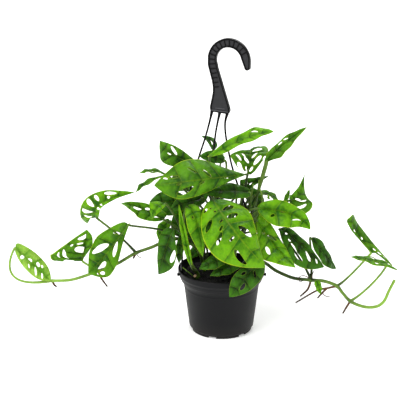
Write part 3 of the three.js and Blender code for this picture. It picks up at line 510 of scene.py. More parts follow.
# Each clip is a flat leaf inside the rim, and a peg through the rim with a domed head outside.
clip_radius = RIM_RADIUS - WALL - 2.6
strand_lines = []
clips = bmesh.new()
for degrees, (start, route) in zip(CLIP_ANGLES, STRANDS):
    angle = math.radians(degrees)
    side = Vector((math.cos(angle), math.sin(angle), 0))
    up = Vector((0, 0, 1))
    line = [on_plate(start, STRANDS_START), *route]
    line += [side * (clip_radius - 1) + up * 22, side * clip_radius + up * 9]
    strand_lines.append(through(line, [STRAND_TOP, 1.9, *[STRAND] * 7, 1.7]))
    turn = Matrix.Rotation(angle, 4, "Z")
    flat_leaf = turn @ Matrix.Translation((clip_radius, 0, 2)) @ Matrix.Diagonal((2.6, 6, 20, 1))
    bmesh.ops.create_cube(clips, matrix=flat_leaf)
    peg = turn @ Matrix.Translation((clip_radius + 3.8, 0, -CLIP_DROP))
    bmesh.ops.create_cone(clips, cap_ends=True, segments=24, radius1=PEG, radius2=PEG, depth=7,
                          matrix=peg @ Matrix.Rotation(math.pi / 2, 4, "Y"))
    head = turn @ Matrix.Translation((RIM_RADIUS + 2.2, 0, -CLIP_DROP)) @ Matrix.Diagonal((0.6, 1, 1, 1))
    bmesh.ops.create_uvsphere(clips, u_segments=24, v_segments=12, radius=PEG_HEAD, matrix=head)
rim_clips = solid("rim_clips", clips, plastic)
soften(rim_clips, 0.4)
mount(rim_clips, "hanger_plastic")
strands = tube_piece("hanger_strands", strand_lines, sides=12, spacing=3, material=bright_edge)
mount(strands, "hanger_plastic")

# ---------------------------------------------------------------- the leaf blades
# Each leaf of a Swiss cheese vine is a thin, leathery blade, lopsided at its base, quilted
# between its side veins and open in rows of oval holes there. It grows on its petiole.

# Side veins along the midrib, and how far across the half blade the holes start and end.
PATTERNS = {
    "large": ((0, 0.17, 0.36, 0.56, 0.76, 1), 0.18, 0.84),
    "medium": ((0, 0.17, 0.36, 0.56, 0.76, 1), 0.2, 0.82),
    "small": ((0, 0.22, 0.46, 0.72, 1), 0.2, 0.82),
    "sparse": ((0, 0.32, 0.62, 1), 0.2, 0.82),
    "plain": ((0, 0.28, 0.6, 1), 0.2, 0.82)}
CURL = 12.5
WAVE = 1.5
QUILT = 3.6
VEIN_DEPTH = 0.35
LEAF_THICKNESS = 0.5
# A blade of this width in all has its full relief, and smaller ones have less.
FULL_WIDTH = 50
# Steps along half a margin, along the midrib and round a hole, and the most panels of a blade.
MARGIN_STEPS = 44
MIDRIB_STEPS = 40
HOLE_STEPS = 22
PANELS = 8
# The nodes of each stem where petioles grow, from its foot on.
NODES = {
    "stem_middle": [(20, -13, 10), (24, -14, 40), (28, -12, 75)],
    "stem_back": [(4, 25, 15), (2, 26, 50), (-2, 24, 90)],
    "stem_front": [(-45, -21, 2), (-53, -26, 20)],
    "vine_left": [(-30, 4, 0), (-38, -8, 30), (-48, -14, 45), (-62, -22, 57), (-80, -28, 62),
                  (-144, -42, 42), (-208, -45, 10), (-288, -40, -9.5)],
    "vine_right": [(52, -14, 20), (153, -20, -16), (197, -24, -26), (221, -26, -53)]}


def grow(name, green, stem, node, leave, base, tip, face, pattern="plain", swell=(0.33, 0.33),
         taper=(0.9, 0.9), lobe=(0.12, 0.12), fold=(12, 12), sway=(0, 0, 0), arrive=None, wing=0,
         gaps=((), ()), holes=None, **form):
    """One leaf: its green, the stem and node that it grows from, how its petiole leaves there,
    where its blade starts and ends, and which way it faces. Its form is how far the midrib bows
    and how wide each half is, left and right, with how it swells, tapers and folds. A hole is
    given by its side, its middle and its half size along and across, and how it slants."""
    if holes is None:
        veins, first, last = PATTERNS[pattern]
        holes = []
        for side, shares in zip((-1, 1), gaps):
            for start, end, share in zip(veins, veins[1:], shares):
                if share:
                    holes.append((side, (start + end) / 2, (first + last) / 2, share * (end - start) / 2,
                                  (last - first) / 2, 0))
    return dict(form, name=name, green=green, stem=stem, node=NODES[stem][node], leave=leave, base=base,
                tip=tip, face=face, pattern=pattern, swell=swell, taper=taper, lobe=lobe, fold=fold,
                sway=sway, arrive=arrive, wing=wing, holes=holes)


def midrib_at(leaf, along):
    """The midrib's point, its direction and the way the blade faces there. Before its start the
    midrib runs straight on backwards."""
    base, tip = Vector(leaf["base"]), Vector(leaf["tip"])
    up = Vector(leaf["face"]).normalized()
    control = (base + tip) / 2 + up * 2 * leaf["bow"] + Vector(leaf["sway"])
    t = max(along, 0)
    point = base * (1 - t) ** 2 + control * 2 * t * (1 - t) + tip * t * t
    ahead = ((control - base) * (1 - t) + (tip - control) * t).normalized()
    normal = (up - ahead * up.dot(ahead)).normalized()
    return point + ahead * min(along, 0) * (tip - base).length, ahead, normal


def fullness(leaf, t, side):
    """How wide the half blade is at t, as a share of its widest."""
    spread = math.log(0.5) / math.log(leaf["swell"][side > 0])
    return max(math.sin(math.pi * max(t, 0) ** spread), 0) ** leaf["taper"][side > 0]


def half_width(leaf, t, side):
    """The half blade's width at t."""
    return leaf["width"][side > 0] * fullness(leaf, t, side)


def lead(leaf, t, side):
    """How far the margin runs ahead of the midrib, or back beside the petiole in a lobe."""
    return 0.11 * math.sin(math.pi * t) - leaf["lobe"][side > 0] * t / (t + 0.03) * math.exp(-t / 0.15)


def within(point, polygon):
    """Whether the point lies inside the polygon, both in the flat."""
    inside = False
    for a, b in zip(polygon, polygon[1:] + polygon[:1]):
        if (a.y > point.y) != (b.y > point.y):
            if point.x < a.x + (point.y - a.y) * (b.x - a.x) / (b.y - a.y):
                inside = not inside
    return inside


def blade_point(leaf, t, side, reach, lift):
    """A point of the blade: t runs from its base to its tip, reach from the midrib (0) to the
    margin (1), side is -1 on the left and +1 on the right; lift is the relief there."""
    point, ahead, normal = midrib_at(leaf, t + lead(leaf, t, side) * reach)
    full = fullness(leaf, t, side)
    width = half_width(leaf, t, side) * reach
    tilt = math.radians(leaf["fold"][side > 0] - CURL * reach)
    ripple = WAVE * reach * reach * math.sin(17 * t + 2 * side) * full
    across = ahead.cross(normal) * side * width * math.cos(tilt)
    return point + across + normal * (width * math.sin(tilt) + ripple + lift * full)


def blade(leaf):
    """The blade's points, faces, places in its pattern, and how near each point is to a hole.
    The points are joined in the flat, round its holes, and then take their place in space."""
    veins = PATTERNS[leaf["pattern"]][0]
    length = (Vector(leaf["tip"]) - Vector(leaf["base"])).length
    size = min(sum(leaf["width"]) / FULL_WIDTH, 1)
    step = 2.4 + 0.8 * size
    marks, flat = [], []

    def mark(t, side, reach, rim=0.0):
        marks.append((t, side, reach, rim))
        flat.append(Vector((side * half_width(leaf, t, side) * reach,
                            length * (t + lead(leaf, t, side) * reach))))
        return len(marks) - 1

    rows = [0.5 - 0.5 * math.cos(math.pi * i / MARGIN_STEPS) for i in range(1, MARGIN_STEPS)]
    right = [mark(t, 1, 1) for t in rows]
    left = [mark(t, -1, 1) for t in reversed(rows)]
    base, tip = mark(0, 1, 0), mark(1, 1, 0)
    outline = [base, *right, tip, *left]
    loops = [outline]
    for side, t, reach, half_t, half_reach, slant in leaf["holes"]:
        loop = []
        for i in range(HOLE_STEPS):
            angle = 2 * math.pi * i / HOLE_STEPS
            across = half_reach * math.cos(angle)
            along = t + half_t * math.sin(angle) + slant * across
            loop.append(mark(along, side, max(reach + across, 0.03), 1.0))
        loops.append(loop)
    shape = [flat[i] for i in outline]
    holes = [[flat[i] for i in loop] for loop in loops[1:]]
    bones = [mark(i / MIDRIB_STEPS, 1, 0) for i in range(1, MIDRIB_STEPS)]
    for side in (-1, 1):
        spread = [i / (length / step) for i in range(1, int(length / step))]
        for t in sorted(spread + list(veins[1:-1])):
            across = max(round(half_width(leaf, t, side) / step), 1)
            for i in range(across):
                here = flat[mark(t, side, (i + (0.5 if i else 0.35)) / across)]
                if any(min((here - p).length for p in hole) < step * 0.45 or within(here, hole)
                       for hole in holes):
                    marks.pop()
                    flat.pop()
    edges = [(a, b) for loop in loops for a, b in zip(loop, loop[1:] + loop[:1])]
    edges += list(zip([base] + bones, bones + [tip]))
    joined, _, triangles, origins, _, _ = delaunay_2d_cdt(flat, edges, [], 0, 1e-4)
    points, places, rims = [], [], []
    for at, known in zip(joined, origins):
        if known:
            t, side, reach, rim = marks[known[0]]
        else:
            nearest = sorted(range(len(flat)), key=lambda i: (flat[i] - at).length)[:2]
            t, side, reach, rim = [sum(pair) / 2 for pair in zip(*(marks[i] for i in nearest))]
            side = 1 if at.x > 0 else -1
        panel = max(i for i, vein in enumerate(veins[:-1]) if t >= vein - 1e-6)
        share = min((t - veins[panel]) / (veins[panel + 1] - veins[panel]), 1)
        across = math.sin(math.pi * min(reach / 0.9, 1)) ** 0.6 if reach < 0.9 else 0
        lift = size * (QUILT * math.sin(math.pi * share) ** 0.8 * across
                       - VEIN_DEPTH * math.exp(-(reach / 0.05) ** 2))
        points.append(blade_point(leaf, t, side, reach, lift))
        places.append((0.5 + side * reach / 2, (panel + share) / PANELS))
        rims.append(rim)
    faces = []
    for corners in triangles:
        middle = sum((joined[i] for i in corners), Vector((0, 0))) / len(corners)
        if within(middle, shape) and not any(within(middle, hole) for hole in holes):
            faces.append(corners)
    return points, faces, places, rims


def blade_piece(leaf, materials):
    """The blade's mesh piece, with the places in its pattern as its UV map."""
    points, faces, places, rims = blade(leaf)
    piece = make("blade_" + leaf["name"], points, faces, *materials)
    layer = piece.data.uv_layers.new(name="blade")
    for loop in piece.data.loops:
        layer.data[loop.index].uv = places[loop.vertex_index]
    rim = piece.data.attributes.new("rim", "FLOAT", "POINT")
    rim.data.foreach_set("value", rims)
    thick = piece.modifiers.new("thickness", "SOLIDIFY")
    thick.thickness = LEAF_THICKNESS / 1000
    thick.offset = 0
    thick.material_offset = 1
    return piece


def blade_surface(name, deep, light, margin, roughness):
    """Leaf skin: two greens in soft patches and in painted light and shade over the quilting, paler side
    veins, a yellow-green margin.
    """
    material, tree, shader = surface(name, Roughness=roughness, IOR=1.45, Specular_IOR_Level=0.12,
                                     Subsurface_Weight=0.15, Subsurface_Scale=0.002,
                                     Subsurface_Radius=(0.5, 1, 0.15))
    pattern = add(tree, "ShaderNodeUVMap", uv_map="blade")
    axes = add(tree, "ShaderNodeSeparateXYZ", {"Vector": pattern})
    where = add(tree, "ShaderNodeTexCoord").outputs["Object"]
    off_midrib = add(tree, "ShaderNodeMath", {0: axes.outputs["X"], 1: 0.5}, operation="SUBTRACT")
    reach = add(tree, "ShaderNodeMath", {0: off_midrib}, operation="ABSOLUTE")
    panels = add(tree, "ShaderNodeMath", {0: axes.outputs["Y"], 1: PANELS}, operation="MULTIPLY")
    to_vein = add(tree, "ShaderNodeMath", {0: panels, 1: 0.5}, operation="PINGPONG")
    side_vein = add(tree, "ShaderNodeMapRange", {
        "Value": to_vein, "From Min": 0.0, "From Max": 0.05, "To Min": 1, "To Max": 0})
    midrib = add(tree, "ShaderNodeMapRange", {
        "Value": reach, "From Min": 0.005, "From Max": 0.03, "To Min": 1, "To Max": 0})
    veins = add(tree, "ShaderNodeMath", {0: side_vein, 1: midrib}, operation="MAXIMUM")
    edge = add(tree, "ShaderNodeMapRange", {
        "Value": reach, "From Min": 0.478, "From Max": 0.496, "To Max": 0.7})
    hole = add(tree, "ShaderNodeAttribute", attribute_name="rim")
    hole_edge = add(tree, "ShaderNodeMapRange", {
        "Value": hole.outputs["Fac"], "From Min": 0.6, "From Max": 1, "To Max": 0.3})
    margins = add(tree, "ShaderNodeMath", {0: edge, 1: hole_edge}, operation="MAXIMUM")
    # Patches are 30 mm across, the puckers 7 mm and the fine net of veins 3 mm. The puckers' height is
    # also painted into the colour: painted light on their rises and painted shade in their dips.
    patches = add(tree, "ShaderNodeTexNoise", {"Vector": where, "Scale": 33, "Detail": 2})
    pucker_field = add(tree, "ShaderNodeTexNoise", {"Vector": where, "Scale": 150, "Detail": 2})
    painted_pucker_shade = add(tree, "ShaderNodeMapRange", {
        "Value": pucker_field, "From Min": 0.3, "From Max": 0.7, "To Min": -0.17, "To Max": 0.17})
    # Painted shade: the hollows along the side veins are darker than the quilts' crowns. The blade is also
    # darker near its midrib and lighter towards its margin.
    crown = add(tree, "ShaderNodeMapRange", {
        "Value": to_vein, "From Min": 0.02, "From Max": 0.2, "To Min": -0.26, "To Max": 0.06})
    outer = add(tree, "ShaderNodeMapRange", {
        "Value": reach, "From Min": 0.02, "From Max": 0.3, "To Min": -0.3, "To Max": 0.15})
    # Painted light and shade: each quilt is darker behind one side vein and lighter before the next, as if
    # lit from one side.
    across_panel = add(tree, "ShaderNodeMath", {0: panels}, operation="FRACT")
    quilt_side_light = add(tree, "ShaderNodeMapRange", {"Value": across_panel, "To Min": -0.21, "To Max": 0.21})
    # A blade is lighter towards its tip.
    tip = add(tree, "ShaderNodeMapRange", {
        "Value": panels, "From Min": 2.8, "From Max": 5, "To Max": 0.14})
    # The patches and all the painted light and shade above add up to the share of the lighter green.
    tone_and_shade = patches
    for shift in (crown, outer, quilt_side_light, tip, painted_pucker_shade):
        tone_and_shade = add(tree, "ShaderNodeMath", {0: tone_and_shade, 1: shift}, operation="ADD")
    patch = add(tree, "ShaderNodeMapRange", {"Value": tone_and_shade, "From Min": 0.1, "From Max": 0.85})
    net = add(tree, "ShaderNodeTexVoronoi", {"Vector": where, "Scale": 330}, feature="DISTANCE_TO_EDGE")
    colour = add(tree, "ShaderNodeMix", {0: patch, 6: linear(deep), 7: linear(light)}, data_type="RGBA")
    vein_share = add(tree, "ShaderNodeMath", {0: veins, 1: 0.12}, operation="MULTIPLY")
    colour = add(tree, "ShaderNodeMix", {0: vein_share, 6: colour, 7: linear(margin)}, data_type="RGBA")
    colour = add(tree, "ShaderNodeMix", {0: margins, 6: colour, 7: linear(margin)}, data_type="RGBA")
    puckers = add(tree, "ShaderNodeBump", {"Height": pucker_field, "Strength": 0.7, "Distance": 0.003})
    bump = add(tree, "ShaderNodeBump", {
        "Height": net, "Strength": 0.4, "Distance": 0.0003, "Normal": puckers})
    finish(tree, shader, Base_Color=colour, Normal=bump)
    return material


# Leaf skin: waxy and half gloss above, paler and matt below. Young blades are yellow-green,
# old ones deep green; the deepest green is also painted shade, on the blades inside the crown and on those
# that fill its shaded gaps.
underside = blade_surface("leaf_underside", "#3a6614", "#5f8d24", "#8fb030", 0.6)
greens = {}
for green, skin, deep, light, margin, roughness in (
        ("pale", "unfolding_leaf_skin", "#4f8418", "#93bb48", "#c2d860", 0.5),
        ("bright", "young_leaf_skin", "#225606", "#66a00c", "#bcd01c", 0.45),
        ("mid", "grown_leaf_skin", "#1a4406", "#52880e", "#aac41e", 0.45),
        ("dark", "old_and_shaded_leaf_skin", "#142f06", "#3a6c12", "#8aa81c", 0.42)):
    greens[green] = [blade_surface(skin, deep, light, margin, roughness), underside]

# A leaf's four bare vectors are how its petiole leaves its node, its base, its tip and its face.
LEAVES = [
    grow("crown_wide", "mid", "stem_middle", 2, (6, 30, 40), (40, -20, 173), (-111, -61, 167),
         (0, -2, 1.3), bow=22, width=(29, 45), pattern="large", swell=(0.65, 0.55), lobe=(0.14, 0),
         fold=(-18, -9), sway=(26, -10, -7), holes=[(1, 0.887, 0.52, 0.011, 0.17, 0.09),
         (1, 0.808, 0.37, 0.034, 0.11, 0.26), (1, 0.608, 0.44, 0.013, 0.13, 0.18),
         (1, 0.479, 0.22, 0.02, 0.17, 0.09), (-1, 0.551, 0.19, 0.02, 0.08, 0.18),
         (-1, 0.782, 0.11, 0.019, 0.05, 0.05), (-1, 0.695, 0.56, 0.062, 0.24, 0.18),
         (-1, 0.287, 0.17, 0.016, 0.1, -0.23)]),
    grow("front_large", "bright", "stem_middle", 1, (-30, -5, 60), (-16, -55, 141), (70, -108, 42),
         (0.4, -2, 1), bow=24, width=(54, 53), pattern="large", swell=(0.2, 0.37), lobe=(0.12, 0.08),
         fold=(-18, -13), sway=(-18, -8, -3), holes=[(1, 0.078, 0.71, 0.013, 0.15, -0.02),
         (1, 0.094, 0.36, 0.008, 0.06, -0.09), (1, 0.146, 0.19, 0.01, 0.04, -0.11),
         (-1, 0.157, 0.32, 0.022, 0.23, -0.07), (-1, 0.274, 0.27, 0.028, 0.21, -0.06),
         (1, 0.207, 0.63, 0.031, 0.2, 0.06), (1, 0.276, 0.16, 0.012, 0.07, -0.01),
         (1, 0.327, 0.29, 0.014, 0.09, 0.03), (1, 0.38, 0.52, 0.023, 0.19, 0.09),
         (1, 0.494, 0.23, 0.018, 0.1, -0.01), (-1, 0.503, 0.41, 0.068, 0.2, 0.27),
         (1, 0.688, 0.59, 0.064, 0.2, 0.41)]),
    grow("front_hanging", "bright", "stem_front", 1, (-16, -16, 60), (-57, -50, 126), (-32, -70, 46),
         (0.3, -1, 0.7), bow=15, width=(12, 18), swell=(0.35, 0.45), lobe=(0.12, 0.2), fold=(24, 10),
         sway=(-2, 8, 30), holes=[(1, 0.393, 0.31, 0.033, 0.09, -0.03)]),
    grow("front_sheath", "bright", "stem_front", 0, (-2, -26, 8), (-52, -60, 29), (-71, -64, 135),
         (-0.2, -1, 0.2), bow=3, width=(6, 6), fold=(40, 40)),
    grow("right_dark", "mid", "stem_middle", 1, (6, -22, 40), (57, -48, 102), (121, -84, 32),
         (0.5, -1.6, 1), bow=-8, width=(17, 44), pattern="medium", swell=(0.19, 0.46), lobe=(0.13, -0.05),
         fold=(15, 38), sway=(-1, 20, -5), holes=[(1, 0.229, 0.14, 0.02, 0.2, -0.2),
         (-1, 0.376, 0.27, 0.06, 0.29, 0.09), (1, 0.475, 0.57, 0.08, 0.11, 0.23)]),
    grow("right_bright", "bright", "stem_middle", 2, (4, -24, 40), (58, -44, 121), (145, -63, 91),
         (0.2, -1.2, 1.5), bow=-2, width=(17, 30), pattern="small", swell=(0.21, 0.25),
         lobe=(-0.05, -0.05), fold=(38, 10), sway=(30, 16, 14), holes=[(1, 0.159, 0.47, 0.023, 0.13, -0.2),
         (1, 0.331, 0.07, 0.032, 0.09, -0.22), (1, 0.591, 0.37, 0.038, 0.14, -0.65)]),
    grow("top_long", "bright", "stem_back", 2, (-14, -8, 70), (-20, -30, 207), (83, -47, 253),
         (-0.4, -0.3, 1.2), bow=8, width=(20, 10), pattern="medium", swell=(0.48, 0.3), lobe=(0.2, 0),
         fold=(25, -3), sway=(13, -5, 3), arrive=(-4, 12, -6),
         holes=[(-1, 0.636, 0.42, 0.04, 0.12, -0.46)]),
    grow("top_right", "mid", "stem_middle", 2, (20, 4, 0), (75, 5, 187), (142, 17, 244), (-0.6, -0.7, 1),
         bow=-8, width=(12, 26), pattern="sparse", swell=(0.41, 0.25), lobe=(0.2, -0.05), fold=(24, 32),
         sway=(-20, 12, 1), arrive=(-16, -3, -60), wing=1.6, holes=[(-1, 0.456, 0.4, 0.045, 0.1, -0.13),
         (-1, 0.574, 0.48, 0.038, 0.09, -0.3)]),
    grow("top_fan", "mid", "stem_back", 2, (20, 30, 10), (45, 23, 168), (49, 71, 189), (0, -1.2, 0.6),
         bow=7, width=(35, 31), pattern="small", swell=(0.4, 0.51), lobe=(0.29, 0.48), fold=(0, 24),
         sway=(4, 1, 18), arrive=(0, 10, -30), holes=[(-1, 0.098, 0.77, 0.069, 0.18, -0.16),
         (-1, 0.052, 0.32, 0.027, 0.1, -0.28), (-1, 0.227, 0.17, 0.049, 0.14, 0.37),
         (-1, 0.287, 0.59, 0.045, 0.12, 0.57), (1, 0.25, 0.6, 0.078, 0.18, 0.18),
         (1, 0.368, 0.26, 0.053, 0.15, 0.35), (1, 0.088, 0.49, 0.047, 0.15, 0.09),
         (1, 0.299, 0.98, 0.034, 0.08, -0.16), (1, 0.548, 0.37, 0.04, 0.28, -0.02),
         (-1, 0.377, 0.35, 0.038, 0.12, 0.66)]),
    grow("top_left", "mid", "stem_back", 1, (-20, 0, 70), (-51, 0, 187), (-103, -3, 226), (-0.4, -1, 0.5),
         bow=16, width=(26, 14), pattern="small", swell=(0.45, 0.34), lobe=(0.04, 0.31), fold=(-18, 4),
         sway=(2, -8, -11), holes=[(1, 0.493, 0.46, 0.067, 0.32, 0.24),
         (-1, 0.558, 0.14, 0.043, 0.06, 0.35)]),
    grow("top_small", "dark", "stem_back", 2, (-5, 5, 40), (-15, 35, 199), (-35, 46, 221), (-0.2, -1, 0.3),
         bow=4, width=(8, 6), swell=(0.29, 0.35), lobe=(0.1, -0.04), fold=(12, 5), sway=(20, -1, 4),
         holes=[(-1, 0.47, 0.17, 0.099, 0.21, -0.58)]),
    grow("left_narrow_a", "mid", "stem_back", 1, (-30, 0, 50), (-94, 12, 162), (-141, 13, 164),
         (0, -0.2, 1), bow=5, width=(6, 9), swell=(0.39, 0.48), lobe=(-0.04, 0.22), fold=(14, 11),
         sway=(3, 3, 2), holes=[(-1, 0.459, 0.47, 0.041, 0.3, -0.08)]),
    grow("left_narrow_b", "mid", "stem_back", 1, (-30, -6, 40), (-90, -2, 168), (-145, -6, 136),
         (-0.3, -0.3, 1), bow=5, width=(6, 13), swell=(0.39, 0.56), lobe=(0.05, -0.05), fold=(23, 10),
         sway=(-8, 0, -5)),
    grow("left_mid", "mid", "vine_left", 2, (-14, -4, 30), (-97, -34, 98), (-167, -48, 131), (0, -1.2, 1),
         bow=-8, width=(22, 13), pattern="small", swell=(0.33, 0.14), lobe=(-0.03, 0.06), fold=(37, 13),
         sway=(-9, 12, 15), holes=[(-1, 0.556, 0.2, 0.095, 0.3, 0.13),
         (1, 0.329, 0.25, 0.043, 0.18, -0.19), (-1, 0.121, 0.25, 0.028, 0.22, 0.18)]),
    grow("left_curled", "bright", "vine_left", 3, (-8, -24, 40), (-94, -46, 130), (-116, -61, 109),
         (-0.4, -1, 0.6), bow=12, width=(8, 20), swell=(0.36, 0.21), lobe=(0.11, 0.08), fold=(14, 0),
         sway=(3, -2, 5)),
    grow("left_back", "dark", "vine_left", 1, (-6, 10, 50), (-62, 4, 116), (-122, 2, 118), (-0.2, -1, 0.5),
         bow=4, width=(24, 20)),
    grow("left_shade", "dark", "vine_left", 1, (4, 15, 30), (-46, 15, 110), (-84, 9, 54), (-0.2, -1, 0.2),
         bow=4, width=(22, 20), arrive=(2, 7, -4)),
    grow("left_hanging", "dark", "vine_left", 3, (0, -12, 16), (-80, -52, 88), (-106, -64, 12),
         (-0.3, -1, 0.4), bow=8, width=(23, 19), pattern="small", swell=(0.6, 0.24), lobe=(0.12, 0.09),
         fold=(16, 1), sway=(7, 1, 18), holes=[(-1, 0.548, 0.76, 0.118, 0.16, -0.22)]),
    grow("left_young", "bright", "vine_left", 4, (-4, 10, 14), (-88, -8, 88), (-108, -14, 56),
         (-0.8, -1, 0.3), bow=4, width=(11, 12), arrive=(4, 4, -8)),
    grow("inner_left", "dark", "vine_left", 0, (0, 32, 30), (-32, 20, 92), (-60, 20, 30), (-0.3, -1, 0.2),
         bow=5, width=(18, 16), arrive=(4, 13, -7)),
    grow("inner_top", "dark", "stem_middle", 1, (0, 24, 40), (46, -22, 142), (-30, -34, 145), (0, -1, 1.2),
         bow=6, width=(16, 15), arrive=(4, 20, -10)),
    grow("inner_front", "dark", "stem_middle", 0, (-8, 20, 26), (0, -4, 94), (-30, -8, 42),
         (-0.2, -1, 0.6), bow=4, width=(20, 22)),
    grow("inner_back", "dark", "stem_back", 0, (-10, 8, 30), (-30, 44, 84), (-68, 56, 48), (-0.5, -0.4, 1),
         bow=8, width=(12, 16)),
    grow("back_hanging", "mid", "stem_back", 0, (12, 24, 50), (46, 52, 100), (72, 82, 26), (0.3, 1, 0.8),
         bow=10, width=(26, 28), pattern="sparse", gaps=((0.4, 0.4, 0), (0.4, 0.4, 0))),
    grow("back_left", "mid", "stem_back", 1, (-4, 28, 50), (-18, 58, 146), (-92, 76, 112), (-0.3, 1, 0.6),
         bow=10, width=(34, 34), pattern="sparse", gaps=((0.3, 0.4, 0), (0.3, 0.4, 0))),
    grow("back_middle", "dark", "stem_back", 1, (4, 24, 40), (22, 56, 96), (14, 82, 18), (0, 1, 0.7),
         bow=10, width=(30, 30), pattern="sparse", gaps=((0.4, 0.4, 0.3), (0.4, 0.4, 0.3))),
    grow("back_low_right", "dark", "stem_back", 0, (20, 14, 40), (64, 50, 46), (104, 76, 6), (0.5, 0.8, 1),
         bow=8, width=(18, 20), pattern="sparse", gaps=((0.3, 0.4, 0), (0.3, 0.4, 0.3))),
    grow("back_low_left", "mid", "stem_back", 0, (-30, 2, 20), (-46, 62, 62), (-72, 96, 20),
         (-0.5, 0.8, 1), bow=8, width=(18, 20), pattern="sparse", gaps=((0.3, 0.4, 0), (0.3, 0.4, 0.3))),
    grow("soil_left", "dark", "stem_middle", 0, (-10, -8, 14), (4, -42, 30), (-38, -52, 17), (0, -0.6, 1),
         bow=4, width=(14, 13)),
    grow("soil_right", "dark", "stem_middle", 0, (6, -10, 8), (28, -36, 20), (-20, -58, 7), (0.1, -0.5, 1),
         bow=3, width=(14, 10)),
    grow("rim_front", "dark", "vine_right", 0, (4, -30, 30), (59, -74, 39), (12, -99, -14),
         (0.4, -1.6, 0.8), bow=1, width=(22, 18), pattern="small", swell=(0.27, 0.41), lobe=(0.17, -0.05),
         fold=(11, 16), sway=(0, 2, -4), holes=[(1, 0.346, 0.45, 0.046, 0.15, 0.03),
         (-1, 0.24, 0.39, 0.031, 0.2, 0.18), (-1, 0.599, 0.35, 0.084, 0.2, 0.12)]),
    grow("right_split", "dark", "vine_right", 1, (-16, 8, 40), (100, -7, 72), (175, -19, 7),
         (0.5, -1, 0.9), bow=5, width=(12, 39), pattern="medium", swell=(0.38, 0.57), lobe=(0.08, 0.2),
         fold=(7, 17), sway=(-24, 5, 23), holes=[(1, 0.244, 0, 0.031, 0.33, -0.05),
         (1, 0.347, 0.4, 0.027, 0.07, -0.32), (1, 0.532, 0.6, 0.082, 0.17, 0.65),
         (1, 0.747, 0.35, 0.045, 0.19, 0.25), (1, 0.875, 0.21, 0.017, 0.24, 0.05)]),
    grow("right_behind", "dark", "vine_right", 1, (4, 14, 40), (154, 16, 47), (201, 26, -14),
         (0.6, -0.8, 0.6), bow=8, width=(14, 16), pattern="sparse", swell=(0.21, 0.46),
         lobe=(-0.05, -0.05), fold=(11, 17), sway=(-10, -3, -3)),
    grow("right_sheath", "bright", "vine_right", 1, (2, -4, 3), (161, -27, -14), (169, -30, -38),
         (0.4, -1, 0.2), bow=2, width=(6, 6)),
    grow("upper_right", "mid", "stem_middle", 2, (40, 20, 5), (116, 25, 112), (142, 32, 159),
         (0.3, -1, 0.4), bow=16, width=(10, 39), pattern="small", swell=(0.14, 0.14), taper=(0.9, 2.2),
         lobe=(-0.05, 0.02), fold=(6, -18), sway=(-5, -10, -23), holes=[(1, 0.286, 0.14, 0.047, 0.2, 0.04),
         (1, 0.134, 0.55, 0.041, 0.15, 0.28), (1, 0.27, 0.49, 0.028, 0.26, 0.15)]),
    grow("upper_slim", "mid", "stem_middle", 2, (30, 14, 5), (106, 12, 112), (115, 14, 136),
         (0.3, -1, 0.4), bow=2, width=(4, 4)),
    grow("right_shade", "dark", "stem_middle", 2, (8, -20, 10), (62, -26, 111), (112, -30, 109),
         (0.2, -1, 0.8), bow=4, width=(14, 13)),
    grow("middle_right", "mid", "stem_middle", 2, (14, 14, 24), (59, 22, 124), (97, 10, 114),
         (-0.2, 0.2, 1), bow=7, width=(18, 17), pattern="sparse", swell=(0.3, 0.31), lobe=(0.04, 0.17),
         fold=(22, 6), sway=(6, -1, -2), holes=[(1, 0.336, 0.73, 0.104, 0.39, 0.09),
         (1, 0.61, 0.81, 0.062, 0.3, 0.22)]),
    grow("middle_dark", "dark", "stem_middle", 2, (-6, 30, 20), (31, 13, 141), (80, 11, 161),
         (0, -1, -0.2), bow=-2, width=(13, 11), pattern="sparse", swell=(0.14, 0.14), lobe=(0.02, 0.27),
         fold=(18, 12), sway=(-13, 3, -9), holes=[(-1, 0.291, 0.16, 0.107, 0.36, -0.11),
         (1, 0.51, 0.01, 0.044, 0.3, -0.28)]),
    grow("neck", "dark", "stem_back", 2, (6, -10, 50), (4, 4, 190), (-38, -9, 201), (0, -1, 0.5), bow=4,
         width=(8, 13)),
    grow("crown_shade", "dark", "stem_back", 1, (-10, -20, 40), (-34, -12, 128), (-86, -38, 118),
         (0, -1, 0.7), bow=5, width=(14, 15)),
    grow("right_inner", "dark", "stem_middle", 1, (4, 34, 36), (42, 28, 130), (74, 30, 94), (0.2, -1, 0.5),
         bow=5, width=(14, 13)),
    grow("inner_gap", "dark", "stem_back", 1, (-8, -2, 40), (-25, 36, 128), (-50, 36, 95), (-0.2, -1, 0.4),
         bow=3, width=(11, 11)),
    grow("rim_left", "dark", "vine_left", 3, (-2, -10, 4), (-68, -38, 71), (-72, -46, 24), (-0.4, -1, 0.2),
         bow=2, width=(7, 7), arrive=(2, 6, -4)),
    grow("inner_low", "dark", "vine_left", 0, (6, 12, 10), (-30, 13, 36), (-60, 7, 12), (-0.2, -1, 0.5),
         bow=3, width=(9, 9), lobe=(0, 0), arrive=(8, 4, -8)),
    grow("vine_left_1", "mid", "vine_left", 3, (-24, -28, 36), (-155, -57, 98), (-221, -81, 21),
         (-0.5, -1.2, 0.9), bow=8, width=(28, 34), pattern="large", swell=(0.64, 0.4), lobe=(0.22, 0.1),
         fold=(-14, 12), sway=(9, 0, -12), arrive=(0, 11, -9), holes=[(1, 0.527, 0.46, 0.091, 0.3, 0.31),
         (1, 0.193, 0.28, 0.022, 0.19, 0.05), (-1, 0.382, 0.34, 0.066, 0.28, 0.21),
         (-1, 0.717, 0.35, 0.093, 0.16, 0.03), (-1, 0.777, 0.69, 0.037, 0.12, 0.01),
         (-1, 0.845, 0.67, 0.02, 0.08, 0.05)]),
    grow("vine_left_2", "bright", "vine_left", 5, (-30, 6, 34), (-210, -31, 101), (-145, -19, 141),
         (-0.3, -1, 0.5), bow=25, width=(27, 8), pattern="medium", swell=(0.14, 0.14), lobe=(0.98, -0.05),
